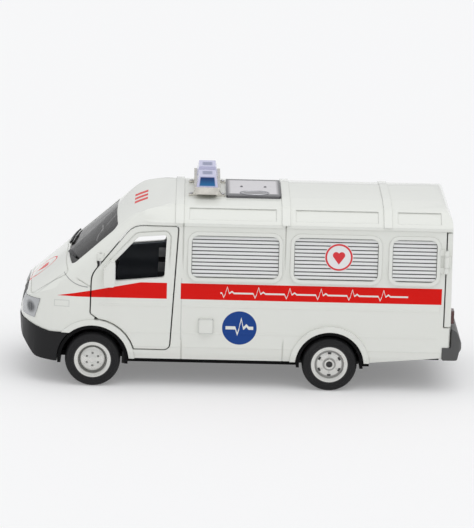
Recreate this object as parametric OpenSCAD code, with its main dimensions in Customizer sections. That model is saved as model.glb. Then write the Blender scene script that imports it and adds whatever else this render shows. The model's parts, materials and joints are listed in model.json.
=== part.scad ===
// Toy ambulance: a die-cast van with four hinged doors, a roof light bar and free-rolling wheels.
// +X is forward, +Y is the left side, +Z is up, and the origin is on the ground under its middle.

/* [Body] */
// Length from the nose to the rear bumper
overall_len = 128.4; // [126:0.2:131]
// Height of the roof above the ground
roof_h = 54.3; // [53.4:0.1:55.4]
// Width over the sides of the body
body_w = 45.8; // [45:0.2:48]
// Thickness of the cast walls
wall = 1.2; // [1.1:0.05:1.3]
// Height of the roof ribs and wheel-arch lips over the skin
rib_proud = 0.4; // [0.3:0.05:0.6]
// Width of the grooves that mark panel seams
seam_w = 0.3; // [0.2:0.05:0.4]
// Depth of the grooves that mark panel seams
seam_d = 0.25; // [0.15:0.05:0.4]

/* [Doors] */
// Gap round each front door
door_gap = 0.35; // [0.3:0.05:0.45]
// Thickness of the trim card inside a front door
card_t = 0.8; // [0.6:0.1:1]
// Diameter of the front door's hinge pin
door_pin_d = 0.8; // [0.7:0.05:0.9]
// Diameter of the rear door's hinge pin
rear_pin_d = 0.7; // [0.6:0.05:0.8]
// Thickness of a rear door
rear_door_t = 2.1; // [1.9:0.1:2.4]
// Gap between the body and the rear doors
rear_gap = 0.35; // [0.3:0.05:0.45]

/* [Wheels] */
// Distance between the axles
wheelbase = 68.5; // [67.5:0.1:69.5]
// Diameter of a tyre
tyre_d = 16; // [15.6:0.1:16.4]
// Width of a tyre
tyre_w = 6.2; // [5.6:0.1:6.6]
// Diameter of a wheel rim
rim_d = 11.2; // [10.8:0.1:11.6]
// Diameter of an axle
axle_d = 2.4; // [2:0.1:2.8]
// Distance between the outer faces of a pair of tyres
track_over = 44.2; // [43.6:0.1:44.6]
// Radius of the front wheel arch
front_arch_r = 10.4; // [10.2:0.1:10.6]
// Radius of the rear wheel arch
rear_arch_r = 9.9; // [9.7:0.1:10.2]
// Width of a wheel arch's lip
lip_w = 1.7; // [1.4:0.1:1.9]

/* [Roof] */
// Length of the light bar across the roof
bar_len = 24.6; // [23:0.2:27]
// Width of the light bar along the roof
bar_w = 6.2; // [5.6:0.1:6.8]
// Height of the light bar's chrome base over its legs
bar_base_h = 2.1; // [1.8:0.1:2.4]
// Height of the light bar's lenses
lens_h = 2.9; // [2.5:0.1:3.4]
// Length of the roof hatch
hatch_len = 15.9; // [15:0.1:16]
// Width of the roof hatch
hatch_w = 20.8; // [19:0.2:22]
// Thickness of the roof hatch
hatch_t = 0.7; // [0.5:0.1:1]

/* [Fits] */
// Clearance round pieces that are set into the body
fit = 0.05; // [0.03:0.01:0.08]
// Radial clearance of pins and axles in their bores
running = 0.05; // [0.03:0.01:0.08]

/* [Hidden] */
$fn = 48;

// How far a cut runs past what it cuts
over = 3;
// Largest turn between two points of a rounded corner
arc_step = 15;
half_w = body_w / 2;

// Axles
axle_z = tyre_d / 2;
front_axle_share = 0.331;
front_x = front_axle_share * overall_len;
rear_x = front_x - wheelbase;
axle_r = axle_d / 2;
bore_r = axle_r + running;
tyre_out = track_over / 2;
tyre_in = tyre_out - tyre_w;

// Body outline seen from the side: along the length, up the height, corner radius in heights
side_shares = [
    [-0.474, 0.201, 0.02], [-0.284, 0.157, 0.06], [0.386, 0.157, 0.01], [0.413, 0.137, 0.02],
    [0.463, 0.146, 0.05], [0.494, 0.232, 0.06], [0.5, 0.372, 0.08], [0.477, 0.495, 0.09],
    [0.394, 0.648, 0.1], [0.2835, 0.889, 0.22], [0.214, 0.966, 0.35], [0.12, 1, 0.4],
    [-0.468, 1, 0.075]
];
// Left half of the cross-section: out to the side, up the height, corner radius in heights
section_shares = [
    [0.9, 0.125, 0], [0.958, 0.19, 0.03], [0.967, 0.226, 0], [0.98, 0.231, 0],
    [0.994, 0.306, 0], [0.985, 0.312, 0], [1, 0.47, 0.05], [0.955, 0.888, 0],
    [0.976, 0.893, 0], [0.976, 0.905, 0], [0.93, 0.917, 0.01], [0.765, 0.981, 0.03], [0.4, 1, 0.2]
];
// The same without its mouldings, for the inside of the walls
plain_section_shares = [
    [0.9, 0.125, 0], [0.958, 0.19, 0.03], [0.985, 0.306, 0], [1, 0.47, 0.05],
    [0.955, 0.888, 0.01], [0.93, 0.917, 0.01], [0.765, 0.981, 0.03], [0.4, 1, 0.2]
];
// Left half of the outline seen from above: along the length, out to the side, corner radius in heights
plan_shares = [
    [-0.474, 1, 0.045], [0.26, 1, 0.9], [0.395, 0.945, 0.5], [0.457, 0.84, 0.2],
    [0.492, 0.53, 0.25], [0.5, 0.25, 0.3]
];
// Crown over hood and windscreen: half width, drop at the sides, rise at the middle, edge and crown radius
crown_half_share = 0.97;
crown_drop_share = 0.0425;
crown_rise_share = 0.0223;
crown_edge_share = 0.11;
crown_r_share = 1.565;
// The crown runs from the front edge of the hood to the top of the windscreen
crown_foot = [side_shares[7].x * overall_len, side_shares[7].y * roof_h];
crown_head = [side_shares[9].x * overall_len, side_shares[9].y * roof_h];
crown_len = norm(crown_head - crown_foot);
crown_tilt = atan2(crown_head.y - crown_foot.y, crown_foot.x - crown_head.x);
crown_half = crown_half_share * half_w;

// Front doors
door_front_shares = [[0.3365, 0.404, 0.012], [0.3345, 0.615, 0.1], [0.2425, 0.885, 0.12]];
door_rear_shares = [[0.1441, 0.885, 0.015], [0.1597, 0.2136, 0.03]];
door_arch_r = front_arch_r + lip_w + door_gap;
door_arch_angles = [163, 97];
door_window_shares = [
    [0.173, 0.608, 0.02], [0.2866, 0.582, 0.02], [0.2858, 0.687, 0.03], [0.232, 0.827, 0.03],
    [0.169, 0.84, 0.015]
];
// Hinge axis of a front door
door_pin_x_share = 0.3162;
door_pin_x = door_pin_x_share * overall_len;
barrel_wall_share = 0.25;
door_barrel_r = door_pin_d / 2 + running + barrel_wall_share * wall;
// Depth of the axis under the skin, which narrows towards the nose
door_skin_share = 0.971;
door_pin_y = door_skin_share * half_w - door_barrel_r - seam_d;
door_pin_z_shares = [0.335, 0.73];
// Room for the door's front edge as it turns: heights, and radii in depths of the axis
door_pin_depth = door_barrel_r + seam_d;
swing_room_shares = [
    [[0.3674, 1.8], [0.3795, 1.8]],
    [[0.6446, 1.46], [0.6704, 1.1], [0.6895, 1.19]]
];
door_boss_h_share = 0.03;
door_boss_h = door_boss_h_share * roof_h;
door_barrel_z_shares = [0.41, 0.615];
// Margin of the trim card inside the edge of its door
card_inset = wall;

// Side windows: front and rear ends, then sill and head
window_x_shares = [[-0.0818, 0.113], [-0.3037, -0.116], [-0.435, -0.3357]];
window_z_shares = [0.614, 0.842];
window_z = window_z_shares * roof_h;
window_r_share = 0.035;
window_rim = 1.1;
window_rim_proud = 0.3;
pane_recess = 0.3;
pane_t = 0.9;
glazing_lap = 1;

// Windscreen and hood on the crown: along it from the hood's front edge, then out to the side
screen_shares = [[0.455, 0.8, 0.03], [0.425, 0, 0.6], [0.985, 0.76, 0.045], [0.995, 0, 0.6]];
screen_sink = 0.25;
screen_t = 1;
hood_shares = [[-0.01, 0.72, 0.04], [0.405, 0.885, 0.03]];
cowl_seam_shares = [[0.392, 0.622], [0.337, 0.545]];
// Wipers: foot and tip on the windscreen
wiper_shares = [[0.44, 0.22], [0.515, 0.7]];
wiper_w = 0.6;
wiper_t = 0.45;

// Rear doors
tail_share = -0.474;
tail_x = tail_share * overall_len;
rear_door_x = tail_x + rear_door_t;
rear_edge_x = rear_door_x + rear_gap;
rear_door_z_shares = [0.371, 0.882];
rear_door_z = rear_door_z_shares * roof_h;
rear_pin_x = rear_edge_x - rear_gap / 2;
rear_pin_y = half_w + running;
rear_barrel_wall_share = 0.2;
rear_barrel_r = rear_pin_d / 2 + running + rear_barrel_wall_share * wall;
rear_barrel_z_shares = [0.7, 0.762];
rear_barrel_z = rear_barrel_z_shares * roof_h;
rear_knuckle_h = 1.7;
hinge_leaf = 1.8;
hinge_leaf_y = [half_w - wall, rear_pin_y - rear_pin_d / 2];
rear_window_y_shares = [0.16, 0.8];
jamb_w = 1.5;

// Chassis and what stands on it
plate_t = 1.4;
plate_z = 7;
plate_top = plate_z + plate_t;
plate_half_share = 0.85;
plate_half = plate_half_share * half_w;
plate_gap = 0.2;
plate_room = plate_half + plate_gap;
plate_rear_share = -0.45;
plate_front_share = 0.405;
liner_t = 0.9;
liner_gap = 0.2;
upstand_t = 1.2;
tail_step = 2.4;
floor_z = 14.8;
floor_t = 1;
floor_top = floor_z + floor_t;
beam_half = 2.7;
well_gap = 1.2;

// Screws and the posts that they hold
screw_d = 1.8;
screw_head_d = 3.4;
screw_head_h = 0.7;
screw_len = 3.4;
post_r = 2;
front_post_share = 0.384;
rear_post_shares = [-0.382, 0.78];

// Front end
bumper_proud = 0.3;
bumper_top_shares = [[0.3, 0.29], [0.43, 0.292], [0.485, 0.322], [0.52, 0.33]];
bumper_rear_share = 0.37;
grille_half_share = 0.38;
grille_x_share = 0.47;
grille_x = grille_x_share * overall_len;
grille_z_shares = [0.362, 0.462];
grille_bars = 4;
trim_proud = 0.15;
headlight_shares = [[0.464, 0.352], [0.52, 0.352], [0.52, 0.455], [0.451, 0.46]];
headlight_in_share = 0.47;

// Rear bumper, from the side
rear_bumper_shares = [
    [-0.4545, 0.256, 0], [-0.4545, 0.186, 0.01], [-0.49, 0.186, 0.01], [-0.494, 0.228, 0],
    [-0.5, 0.243, 0.01], [-0.499, 0.276, 0.01], [-0.487, 0.343, 0.015], [-0.4745, 0.362, 0],
    [-0.4745, 0.256, 0]
];
rear_bumper_half_share = 0.975;

// Roof
rib_x_shares = [0.1415, -0.096, -0.3235];
rib_w = 2.4;
roof_foot_share = 0.906;
panel_z_shares = [0.922, 0.972];
panel_sink = 0.25;
panel_margin = 1.6;
bar_x_share = 0.0815;
bar_x = bar_x_share * overall_len;
bar_leg_h = 1.1;
leg_y = bar_len / 3;
leg_w = 2;
leg_t = 0.8;
pad_len = 2.2;
bar_z = roof_h + bar_leg_h;
bar_taper = 0.7;
valley_w = 3;
hatch_x_share = -0.0234;
hatch_x = hatch_x_share * overall_len;

// Small pieces on the sides
flap_shares = [0.0779, 0.348];
flap_size = 4.4;
mirror_shares = [0.2955, 0.634];
mirror_size = [3.3, 2.6, 7.6];
mirror_r = 0.8;
lamp_shares = [0.82, 0.415];
lamp_size = [0.8, 3.2, 3.8];

// Geometry helpers
function unit(v) = v / norm(v);
function left_of(v) = [-v.y, v.x];
function inset_path(p, d) = let (n = len(p)) [
    for (i = [0:n - 1]) let (
        a = left_of(unit(p[i] - p[(i + n - 1) % n])),
        b = left_of(unit(p[(i + 1) % n] - p[i]))
    ) p[i] + d * (a + b) / (1 + a * b)
];
function turn_at(p, i) = let (n = len(p)) cross(p[i] - p[(i + n - 1) % n], p[(i + 1) % n] - p[i]);
function corner_arc(a, b, c, r) = let (
    u = unit(a - b), v = unit(c - b), half = acos(u * v) / 2, turn = 180 - 2 * half,
    side = sign(cross(b - a, c - b)), middle = b + unit(u + v) * r / sin(half),
    first = b + u * r / tan(half) - middle, start = atan2(first.y, first.x),
    steps = max(1, ceil(turn / arc_step))
) [for (i = [0:steps]) let (angle = start + side * turn * i / steps) middle + r * [cos(angle), sin(angle)]];
// Corners [x, y, radius] in anticlockwise order, moved inwards by d and then rounded
function rounded(corners, d = 0) = let (
    p = inset_path([for (c = corners) [c.x, c.y]], d), n = len(p)
) [
    for (i = [0:n - 1]) let (r = corners[i].z - d * sign(turn_at(p, i)))
        each corners[i].z > 0 && r > seam_w
            ? corner_arc(p[(i + n - 1) % n], p[i], p[(i + 1) % n], r) : [p[i]]
];
function side_corners(shares) = [for (s = shares) [s.x * overall_len, s.y * roof_h, s.z * roof_h]];
function mirrored(corners) = concat(corners, [
    for (i = [len(corners) - 1:-1:0]) [-corners[i].x, corners[i].y, corners[i].z]
]);
function section_corners(shares) = mirrored(
    [for (s = shares) [s.x * half_w, s.y * roof_h, s.z * roof_h]]
);
function plan_corners(shares) = concat(
    [for (s = shares) [s.x * overall_len, -s.y * half_w, s.z * roof_h]],
    [for (i = [len(shares) - 1:-1:0]) let (s = shares[i])
        [s.x * overall_len, s.y * half_w, s.z * roof_h]]
);
function crown_corners() = mirrored([
    [crown_half, -overall_len, 0],
    [crown_half, -crown_drop_share * roof_h, crown_edge_share * roof_h]
]);
function crown_outline(d) = rounded(concat(
    [for (i = [0, 1]) crown_corners()[i]],
    [[0, crown_rise_share * roof_h, crown_r_share * roof_h]],
    [for (i = [2, 3]) crown_corners()[i]]
), d);

// Outlines pushed through the body along one axis
module along_y(length) rotate([90, 0, 0]) linear_extrude(length, center = true) children();
module along_left(near, far) translate([0, far, 0]) rotate([90, 0, 0]) linear_extrude(far - near) children();
module along_x(from, to) translate([from, 0, 0]) rotate([90, 0, 90]) linear_extrude(to - from) children();
module along_z(from, to) translate([0, 0, from]) linear_extrude(to - from) children();
module on_crown() translate([crown_foot.x, 0, crown_foot.y]) rotate([0, crown_tilt, 0]) children();
module on_side(s) mirror([0, s < 0 ? 1 : 0, 0]) children();
module block(from, to) translate(from) cube(to - from);

// Flat rounded rectangle about the origin
module rounded_rect(size, r) {
    square([size.x - 2 * r, size.y], center = true);
    square([size.x, size.y - 2 * r], center = true);
    for (x = [-1, 1], y = [-1, 1]) translate([x * (size.x / 2 - r), y * (size.y / 2 - r)]) circle(r);
}

// Four views of the van pushed through each other, each moved inwards by d
module side_form(d) along_y(body_w + 2 * over) polygon(rounded(side_corners(side_shares), d));
module plan_form(d) along_z(-over, roof_h + over) polygon(rounded(plan_corners(plan_shares), d));
module crown_form(d) on_crown() along_x(-overall_len, overall_len) polygon(crown_outline(d));
module section_form(d, from = -overall_len, to = overall_len, shares = section_shares)
    along_x(from, to) polygon(rounded(section_corners(shares), d));
module plain_form(d, from = -overall_len, to = overall_len) section_form(d, from, to, plain_section_shares);
// The slopes of hood, windscreen and roof
module front_form(d) intersection() {
    side_form(d);
    crown_form(d);
}
// The whole outer form
module body_form(d = 0) intersection() {
    side_form(d);
    section_form(d);
    plan_form(d);
    crown_form(d);
}
// The inside of its walls
module inner_form(d) intersection() {
    side_form(d);
    plain_form(d);
    plan_form(d);
    crown_form(d);
}

// Outlines on the side of the body
function window_rect(i, grow) = let (
    x = window_x_shares[i] * overall_len, z = window_z, r = window_r_share * roof_h + grow
) [
    [x[0] - grow, z[0] - grow, r], [x[1] + grow, z[0] - grow, r],
    [x[1] + grow, z[1] + grow, r], [x[0] - grow, z[1] + grow, r]
];
function door_corners() = concat(
    [side_corners(door_rear_shares)[1]],
    [for (i = [0:6]) let (a = door_arch_angles[0] + (door_arch_angles[1] - door_arch_angles[0]) * i / 6)
        [front_x + door_arch_r * cos(a), axle_z + door_arch_r * sin(a), 0]],
    side_corners(door_front_shares),
    [side_corners(door_rear_shares)[0]]
);
module door_outline(d = 0) polygon(rounded(door_corners(), d));
module door_window(d = 0) polygon(rounded(side_corners(door_window_shares), d));
module window_outline(i, grow = 0) polygon(rounded(window_rect(i, grow)));
module wheel_arch(x, r) translate([x, axle_z]) circle(r);

// Outlines on the crown, seen square to it
function crown_corner(s) = [-s.x * crown_len, s.y * half_w, s.z * roof_h];
function screen_corners() = let (c = [for (s = screen_shares) crown_corner(s)]) [
    c[3], [c[2].x, -c[2].y, c[2].z], [c[0].x, -c[0].y, c[0].z], c[1], c[0], c[2]
];
function hood_corners() = let (c = [for (s = hood_shares) crown_corner(s)]) [
    [c[1].x, -c[1].y, c[1].z], [c[0].x, -c[0].y, c[0].z], c[0], c[1]
];
module through_crown() on_crown() translate([0, 0, -roof_h / 4]) linear_extrude(roof_h / 2) children();

// Body shell
module arch_cut(s, x, r) on_side(s) along_left(tyre_in - well_gap, half_w + over) wheel_arch(x, r);
module front_arch_cut(s) arch_cut(s, front_x, front_arch_r);
module rear_arch_cut(s) arch_cut(s, rear_x, rear_arch_r);
module bumper_zone(grow = 0) along_y(body_w + 2 * over) polygon(concat(
    [for (p = bumper_top_shares) [p.x * overall_len, p.y * roof_h + grow]],
    [[overall_len, 0], [bumper_top_shares[0].x * overall_len, 0]]
));
module arch_lip(s, x, r) on_side(s) intersection() {
    along_left(half_w - 2 * wall, half_w + over) difference() {
        wheel_arch(x, r + lip_w);
        wheel_arch(x, r);
        translate([x - 2 * r, plate_top - 4 * r]) square([4 * r, 4 * r]);
    }
    plan_form(-rib_proud);
    plain_form(-rib_proud);
}
module window_rims() for (s = [-1, 1], i = [0:len(window_x_shares) - 1]) on_side(s) intersection() {
    along_left(half_w / 2, half_w + over) difference() {
        window_outline(i, window_rim);
        window_outline(i);
    }
    difference() {
        section_form(-window_rim_proud, tail_x, front_x);
        plain_form(wall / 2);
    }
}
module roof_ribs() for (share = rib_x_shares) intersection() {
    section_form(-rib_proud, share * overall_len - rib_w / 2, share * overall_len + rib_w / 2);
    block([tail_x, -half_w, roof_foot_share * roof_h], [front_x, half_w, roof_h + over]);
    along_y(body_w) polygon(rounded(side_corners(side_shares), -rib_proud));
}
module roof_panels() for (i = [0:len(rib_x_shares) - 1]) difference() {
    let (
        front = rib_x_shares[i] * overall_len - rib_w / 2 - panel_margin,
        next = i + 1 < len(rib_x_shares) ? rib_x_shares[i + 1] * overall_len + rib_w / 2 : rear_edge_x,
        z = panel_z_shares * roof_h
    ) block([next + panel_margin, -half_w, z[0]], [front, half_w, z[1]]);
    section_form(panel_sink, tail_x, front_x);
}
module side_seams() difference() {
    for (x = [rib_x_shares[0] * overall_len - rib_w / 2, rib_x_shares[1] * overall_len])
        block([x - seam_w / 2, -half_w - over, 0], [x + seam_w / 2, half_w + over, roof_foot_share * roof_h]);
    plain_form(seam_d);
}
module cowl_seams() difference() {
    along_y(body_w + over) let (p = [for (s = cowl_seam_shares) [s.x * overall_len, s.y * roof_h]])
        polygon([p[0], p[1], p[1] + [0, seam_w], p[0] + [0, seam_w]]);
    plan_form(seam_d);
}
module hood_seam() difference() {
    through_crown() difference() {
        polygon(rounded(hood_corners()));
        polygon(rounded(hood_corners(), seam_w));
    }
    front_form(seam_d);
}
module fuel_flap() intersection() {
    along_left(half_w / 2, half_w + over) translate([flap_shares.x * overall_len, flap_shares.y * roof_h])
        rounded_rect([flap_size, flap_size], flap_size / 6);
    difference() {
        section_form(-trim_proud - seam_w / 2, tail_x, front_x);
        plain_form(wall / 2);
    }
}
module door_bosses(s) on_side(s) intersection() {
    union() for (z = door_pin_z_shares * roof_h, up = [z > roof_h / 2 ? -1 : 0])
        translate([door_pin_x, door_pin_y, z + up * door_boss_h])
            cylinder(r = door_barrel_r + door_gap, h = door_boss_h);
    plan_form(wall / 2);
}
module door_pin_hole(s, r) on_side(s)
    translate([door_pin_x, door_pin_y, door_pin_z_shares[0] * roof_h])
        cylinder(r = r, h = (door_pin_z_shares[1] - door_pin_z_shares[0]) * roof_h);
module swing_room(s) on_side(s) translate([door_pin_x, door_pin_y, 0])
    for (room = swing_room_shares) rotate_extrude() polygon(concat(
        [[0, room[0].x * roof_h]],
        [for (p = room) [p.y * door_pin_depth, p.x * roof_h]],
        [[0, room[len(room) - 1].x * roof_h]]
    ));
module rear_jamb() difference() {
    plain_form(wall / 2, rear_edge_x, rear_edge_x + wall);
    plain_form(wall + jamb_w, rear_edge_x - over, rear_edge_x + over);
    block([tail_x, -half_w, 0], [0, half_w, rear_door_z[0] - jamb_w]);
    block([tail_x, -half_w, rear_door_z[1] + jamb_w], [0, half_w, roof_h]);
}
module rear_knuckles(s) on_side(s)
    for (z = [rear_barrel_z[0] - rear_knuckle_h - fit, rear_barrel_z[1] + fit]) {
        translate([rear_pin_x, rear_pin_y, z]) cylinder(r = rear_barrel_r, h = rear_knuckle_h);
        block(
            [rear_pin_x, hinge_leaf_y[0], z],
            [rear_edge_x + hinge_leaf, hinge_leaf_y[1], z + rear_knuckle_h]
        );
    }
module rear_pin_hole(s, r) on_side(s)
    translate([rear_pin_x, rear_pin_y, rear_barrel_z[0] - rear_knuckle_h - fit])
        cylinder(r = r, h = rear_barrel_z[1] - rear_barrel_z[0] + 2 * (rear_knuckle_h + fit));
module front_post() intersection() {
    translate([front_post_share * overall_len, 0, plate_top]) cylinder(r = post_r, h = roof_h / 2);
    side_form(wall / 2);
}
module rear_post(s) on_side(s) let (x = rear_post_shares.x * overall_len) intersection() {
    block(
        [x - post_r, rear_post_shares.y * half_w - post_r, plate_top + tail_step],
        [x + post_r, half_w, floor_z - plate_gap]
    );
    plain_form(wall / 2, x - 2 * post_r, x + 2 * post_r);
}
function screw_place(i) = [
    [front_post_share * overall_len, 0], [rear_post_shares.x * overall_len, rear_post_shares.y * half_w],
    [rear_post_shares.x * overall_len, -rear_post_shares.y * half_w]
][i];
function screw_z(i) = i == 0 ? plate_z : plate_z + tail_step;
module body_shell() color("white") {
    body_casting();
    for (s = [-1, 1]) difference() {
        rear_knuckles(s);
        rear_pin_hole(s, rear_pin_d / 2);
    }
}
module body_casting() difference() {
    union() {
        difference() {
            body_form();
            inner_form(wall);
            block([tail_x + wall, -plate_room, 0], [front_x, plate_room, plate_top + tail_step + wall]);
            roof_panels();
        }
        front_post();
        for (s = [-1, 1]) rear_post(s);
        for (s = [-1, 1]) {
            door_bosses(s);
            arch_lip(s, front_x, front_arch_r);
            arch_lip(s, rear_x, rear_arch_r);
        }
        window_rims();
        roof_ribs();
        rear_jamb();
        fuel_flap();
    }
    for (s = [-1, 1]) {
        front_arch_cut(s);
        rear_arch_cut(s);
        on_side(s) along_left(half_w / 2, half_w + over) door_outline(-door_gap);
        for (i = [0:len(window_x_shares) - 1])
            on_side(s) along_left(half_w / 2, half_w + over) window_outline(i);
        door_pin_hole(s, door_pin_d / 2);
        swing_room(s);
        on_side(s) headlight_zone(fit);
    }
    through_crown() polygon(rounded(screen_corners(), -fit));
    bumper_zone();
    grille_zone(fit);
    side_seams();
    cowl_seams();
    hood_seam();
    rear_cut();
    rear_bumper_zone();
    for (i = [0:2]) translate([screw_place(i).x, screw_place(i).y, 0])
        cylinder(d = screw_d, h = screw_z(i) + plate_t + screw_len);
}
module rear_cut() block(
    [-overall_len, -half_w - over, rear_door_z[0] - door_gap],
    [rear_edge_x, half_w + over, rear_door_z[1] + door_gap]
);

// Front doors, their trim cards and hinge pins
module door_barrel(r) translate([door_pin_x, door_pin_y, door_barrel_z_shares[0] * roof_h])
    cylinder(r = r, h = (door_barrel_z_shares[1] - door_barrel_z_shares[0]) * roof_h);
module front_door(s) color("white") on_side(s) difference() {
    union() {
        intersection() {
            difference() {
                body_form();
                inner_form(wall);
            }
            along_left(half_w / 2, half_w + over) door_outline();
        }
        intersection() {
            door_barrel(door_barrel_r);
            plan_form(seam_d);
        }
    }
    along_left(half_w / 2, half_w + over) door_window();
    door_pin_hole(1, door_pin_d / 2 + running);
    difference() {
        along_left(half_w / 2, half_w + over) difference() {
            door_window(-window_rim - seam_w);
            door_window(-window_rim);
        }
        plain_form(seam_d);
    }
}
module door_card(s) color("#202226") on_side(s) difference() {
    intersection() {
        difference() {
            inner_form(wall);
            inner_form(wall + card_t);
        }
        along_left(half_w / 2, half_w + over) door_outline(card_inset);
    }
    along_left(half_w / 2, half_w + over) door_window(-seam_w);
    block([door_pin_x - door_barrel_r - door_gap, 0, 0], [overall_len, half_w, roof_h]);
}
module door_pin(s) color("silver") door_pin_hole(s, door_pin_d / 2);

module mirror_block(s) color("white") on_side(s) difference() {
    intersection() {
        along_left(half_w - wall, half_w + mirror_size.y)
            translate([mirror_shares.x * overall_len, mirror_shares.y * roof_h])
                rounded_rect([mirror_size.x, mirror_size.z], mirror_r);
        along_left(half_w / 2, 2 * half_w) door_outline(wall);
    }
    body_form();
}

// Rear doors, their glass, hinge pins and lamps
module rear_door_window(grow = 0) along_x(-overall_len, rear_edge_x)
    let (y = rear_window_y_shares * half_w, z = window_z)
        translate([(y[0] + y[1]) / 2, (z[0] + z[1]) / 2])
            rounded_rect([y[1] - y[0] + 2 * grow, z[1] - z[0] + 2 * grow], window_r_share * roof_h);
module rear_door(s) color("white") on_side(s) difference() {
    union() {
        intersection() {
            body_form();
            block([-overall_len, door_gap / 2, rear_door_z[0]], [rear_door_x, half_w, rear_door_z[1]]);
        }
        translate([rear_pin_x, rear_pin_y, rear_barrel_z[0]])
            cylinder(r = rear_barrel_r, h = rear_barrel_z[1] - rear_barrel_z[0]);
        block(
            [rear_door_x - wall, hinge_leaf_y[0], rear_barrel_z[0]],
            [rear_pin_x, hinge_leaf_y[1], rear_barrel_z[1]]
        );
    }
    rear_door_window();
    rear_pin_hole(1, rear_pin_d / 2 + running);
}
module rear_glass(s) color("#3a4148") on_side(s) intersection() {
    rear_door_window(-fit);
    block([rear_door_x - wall, 0, 0], [rear_door_x - wall + pane_t, half_w, roof_h]);
}
module rear_pin(s) color("silver") rear_pin_hole(s, rear_pin_d / 2);
module tail_lamp(s) color("#8c1a14") on_side(s) difference() {
    translate([tail_x, lamp_shares.x * half_w, lamp_shares.y * roof_h]) block(
        [-lamp_size.x, -lamp_size.y / 2, -lamp_size.z / 2],
        [rear_door_t / 2, lamp_size.y / 2, lamp_size.z / 2]
    );
    body_form();
}

// Glazing
module windscreen() color("#33383d") difference() {
    intersection() {
        front_form(screen_sink);
        through_crown() polygon(rounded(screen_corners()));
    }
    front_form(screen_sink + screen_t);
}
module wiper(s) color("#202226") on_side(s) intersection() {
    difference() {
        body_form(-wiper_t);
        body_form();
    }
    through_crown() let (
        p = [for (w = wiper_shares) [-w.x * crown_len, w.y * half_w]],
        n = left_of(unit(p[1] - p[0])) * wiper_w
    ) polygon([p[0] - n, p[1] - n / 2, p[1] + n / 2, p[0] + n]);
}
module side_glazing(s) color("#c9d0d2") on_side(s) {
    intersection() {
        difference() {
            inner_form(wall + fit);
            inner_form(wall + fit + pane_t);
        }
        block(
            [rear_edge_x + wall + glazing_lap, 0, window_z[0] - glazing_lap],
            [window_x_shares[0][1] * overall_len + glazing_lap, half_w, window_z[1] + glazing_lap]
        );
    }
    intersection() {
        difference() {
            body_form(pane_recess);
            inner_form(wall + fit + pane_t / 2);
        }
        along_left(half_w / 2, half_w + over)
            for (i = [0:len(window_x_shares) - 1]) window_outline(i, -fit);
    }
}

// Front end
grille_half = grille_half_share * half_w;
grille_z = grille_z_shares * roof_h;
module grille_zone(grow = 0) block(
    [grille_x, -grille_half - grow, grille_z[0] - grow], [overall_len, grille_half + grow, grille_z[1] + grow]
);
module grille() color("#17181a") difference() {
    intersection() {
        body_form(trim_proud);
        grille_zone();
    }
    let (
        pitch = (grille_z[1] - grille_z[0]) / (grille_bars + 1), half = grille_half - pitch / 2
    ) for (i = [1:grille_bars]) let (z = grille_z[0] + i * pitch)
        block([grille_x + wall, -half, z - pitch / 4], [overall_len, half, z + pitch / 4]);
}
module headlight_zone(grow = 0) intersection() {
    along_left(0, half_w) polygon(
        inset_path([for (s = headlight_shares) [s.x * overall_len, s.y * roof_h]], -grow)
    );
    block([front_x, headlight_in_share * half_w - grow, 0], [overall_len, half_w, roof_h]);
}
module headlight(s) color("#cfd6da") on_side(s) intersection() {
    body_form(-trim_proud);
    headlight_zone();
}
module front_bumper() color("#1b1c1e") difference() {
    intersection() {
        difference() {
            body_form(-bumper_proud);
            inner_form(wall);
        }
        bumper_zone();
    }
    for (s = [-1, 1]) front_arch_cut(s);
    block(
        [0, -plate_room, 0],
        [plate_front_share * overall_len + plate_gap, plate_room, plate_top + 2 * wall]
    );
    block([0, -half_w - over, 0], [bumper_rear_share * overall_len, half_w + over, roof_h]);
}
module rear_bumper_zone() along_y(body_w + 2 * over) polygon(rounded(side_corners(rear_bumper_shares)));
module rear_bumper() color("#4a4c4f") intersection() {
    rear_bumper_zone();
    along_z(0, roof_h) let (h = rear_bumper_half_share * half_w, x = -overall_len / 2)
        polygon(rounded([[x, -h, h / 8], [0, -h, 0], [0, h, 0], [x, h, h / 8]]));
}

// Light bar and hatch
module bar_outline(from, to) polygon([
    [-bar_w / 2, from], [bar_w / 2, from], [bar_w / 2 - bar_taper, to], [-bar_w / 2 + bar_taper, to]
]);
module bar_leg(x, y) difference() {
    translate([bar_x, y, 0]) mirror([x < 0 ? 1 : 0, 0, 0]) along_y(leg_w) polygon([
        [bar_w / 2, bar_z + bar_base_h / 2], [bar_w / 2 - leg_t, bar_z],
        [bar_w / 2 + pad_len / 3, roof_h - over],
        [bar_w / 2 + pad_len, roof_h - over], [bar_w / 2 + pad_len, roof_h + leg_t / 2],
        [bar_w / 2 + pad_len / 2, roof_h + leg_t / 2]
    ]);
    section_form(0, tail_x, front_x);
}
module lightbar_base() color("#c8ccd0") {
    translate([bar_x, 0, 0]) along_y(bar_len) polygon([
        [-bar_w / 2, bar_z], [bar_w / 2, bar_z],
        [bar_w / 2 + bar_taper, bar_z + bar_base_h], [-bar_w / 2 - bar_taper, bar_z + bar_base_h]
    ]);
    translate([bar_x, 0, bar_z + bar_base_h]) along_y(valley_w) bar_outline(0, lens_h / 2);
    for (x = [-1, 1], y = [-leg_y, leg_y]) bar_leg(x, y);
}
module beacon(s) color("#1e4fa8") on_side(s) translate([bar_x, 0, bar_z + bar_base_h]) intersection() {
    along_left(valley_w / 2, bar_len / 2 - bar_taper) bar_outline(0, lens_h);
    along_x(-bar_w, bar_w) polygon([
        [valley_w / 2, 0], [bar_len / 2 - bar_taper, 0],
        [bar_len / 2 - 3 * bar_taper, lens_h], [valley_w / 2 + bar_taper, lens_h]
    ]);
}
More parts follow.
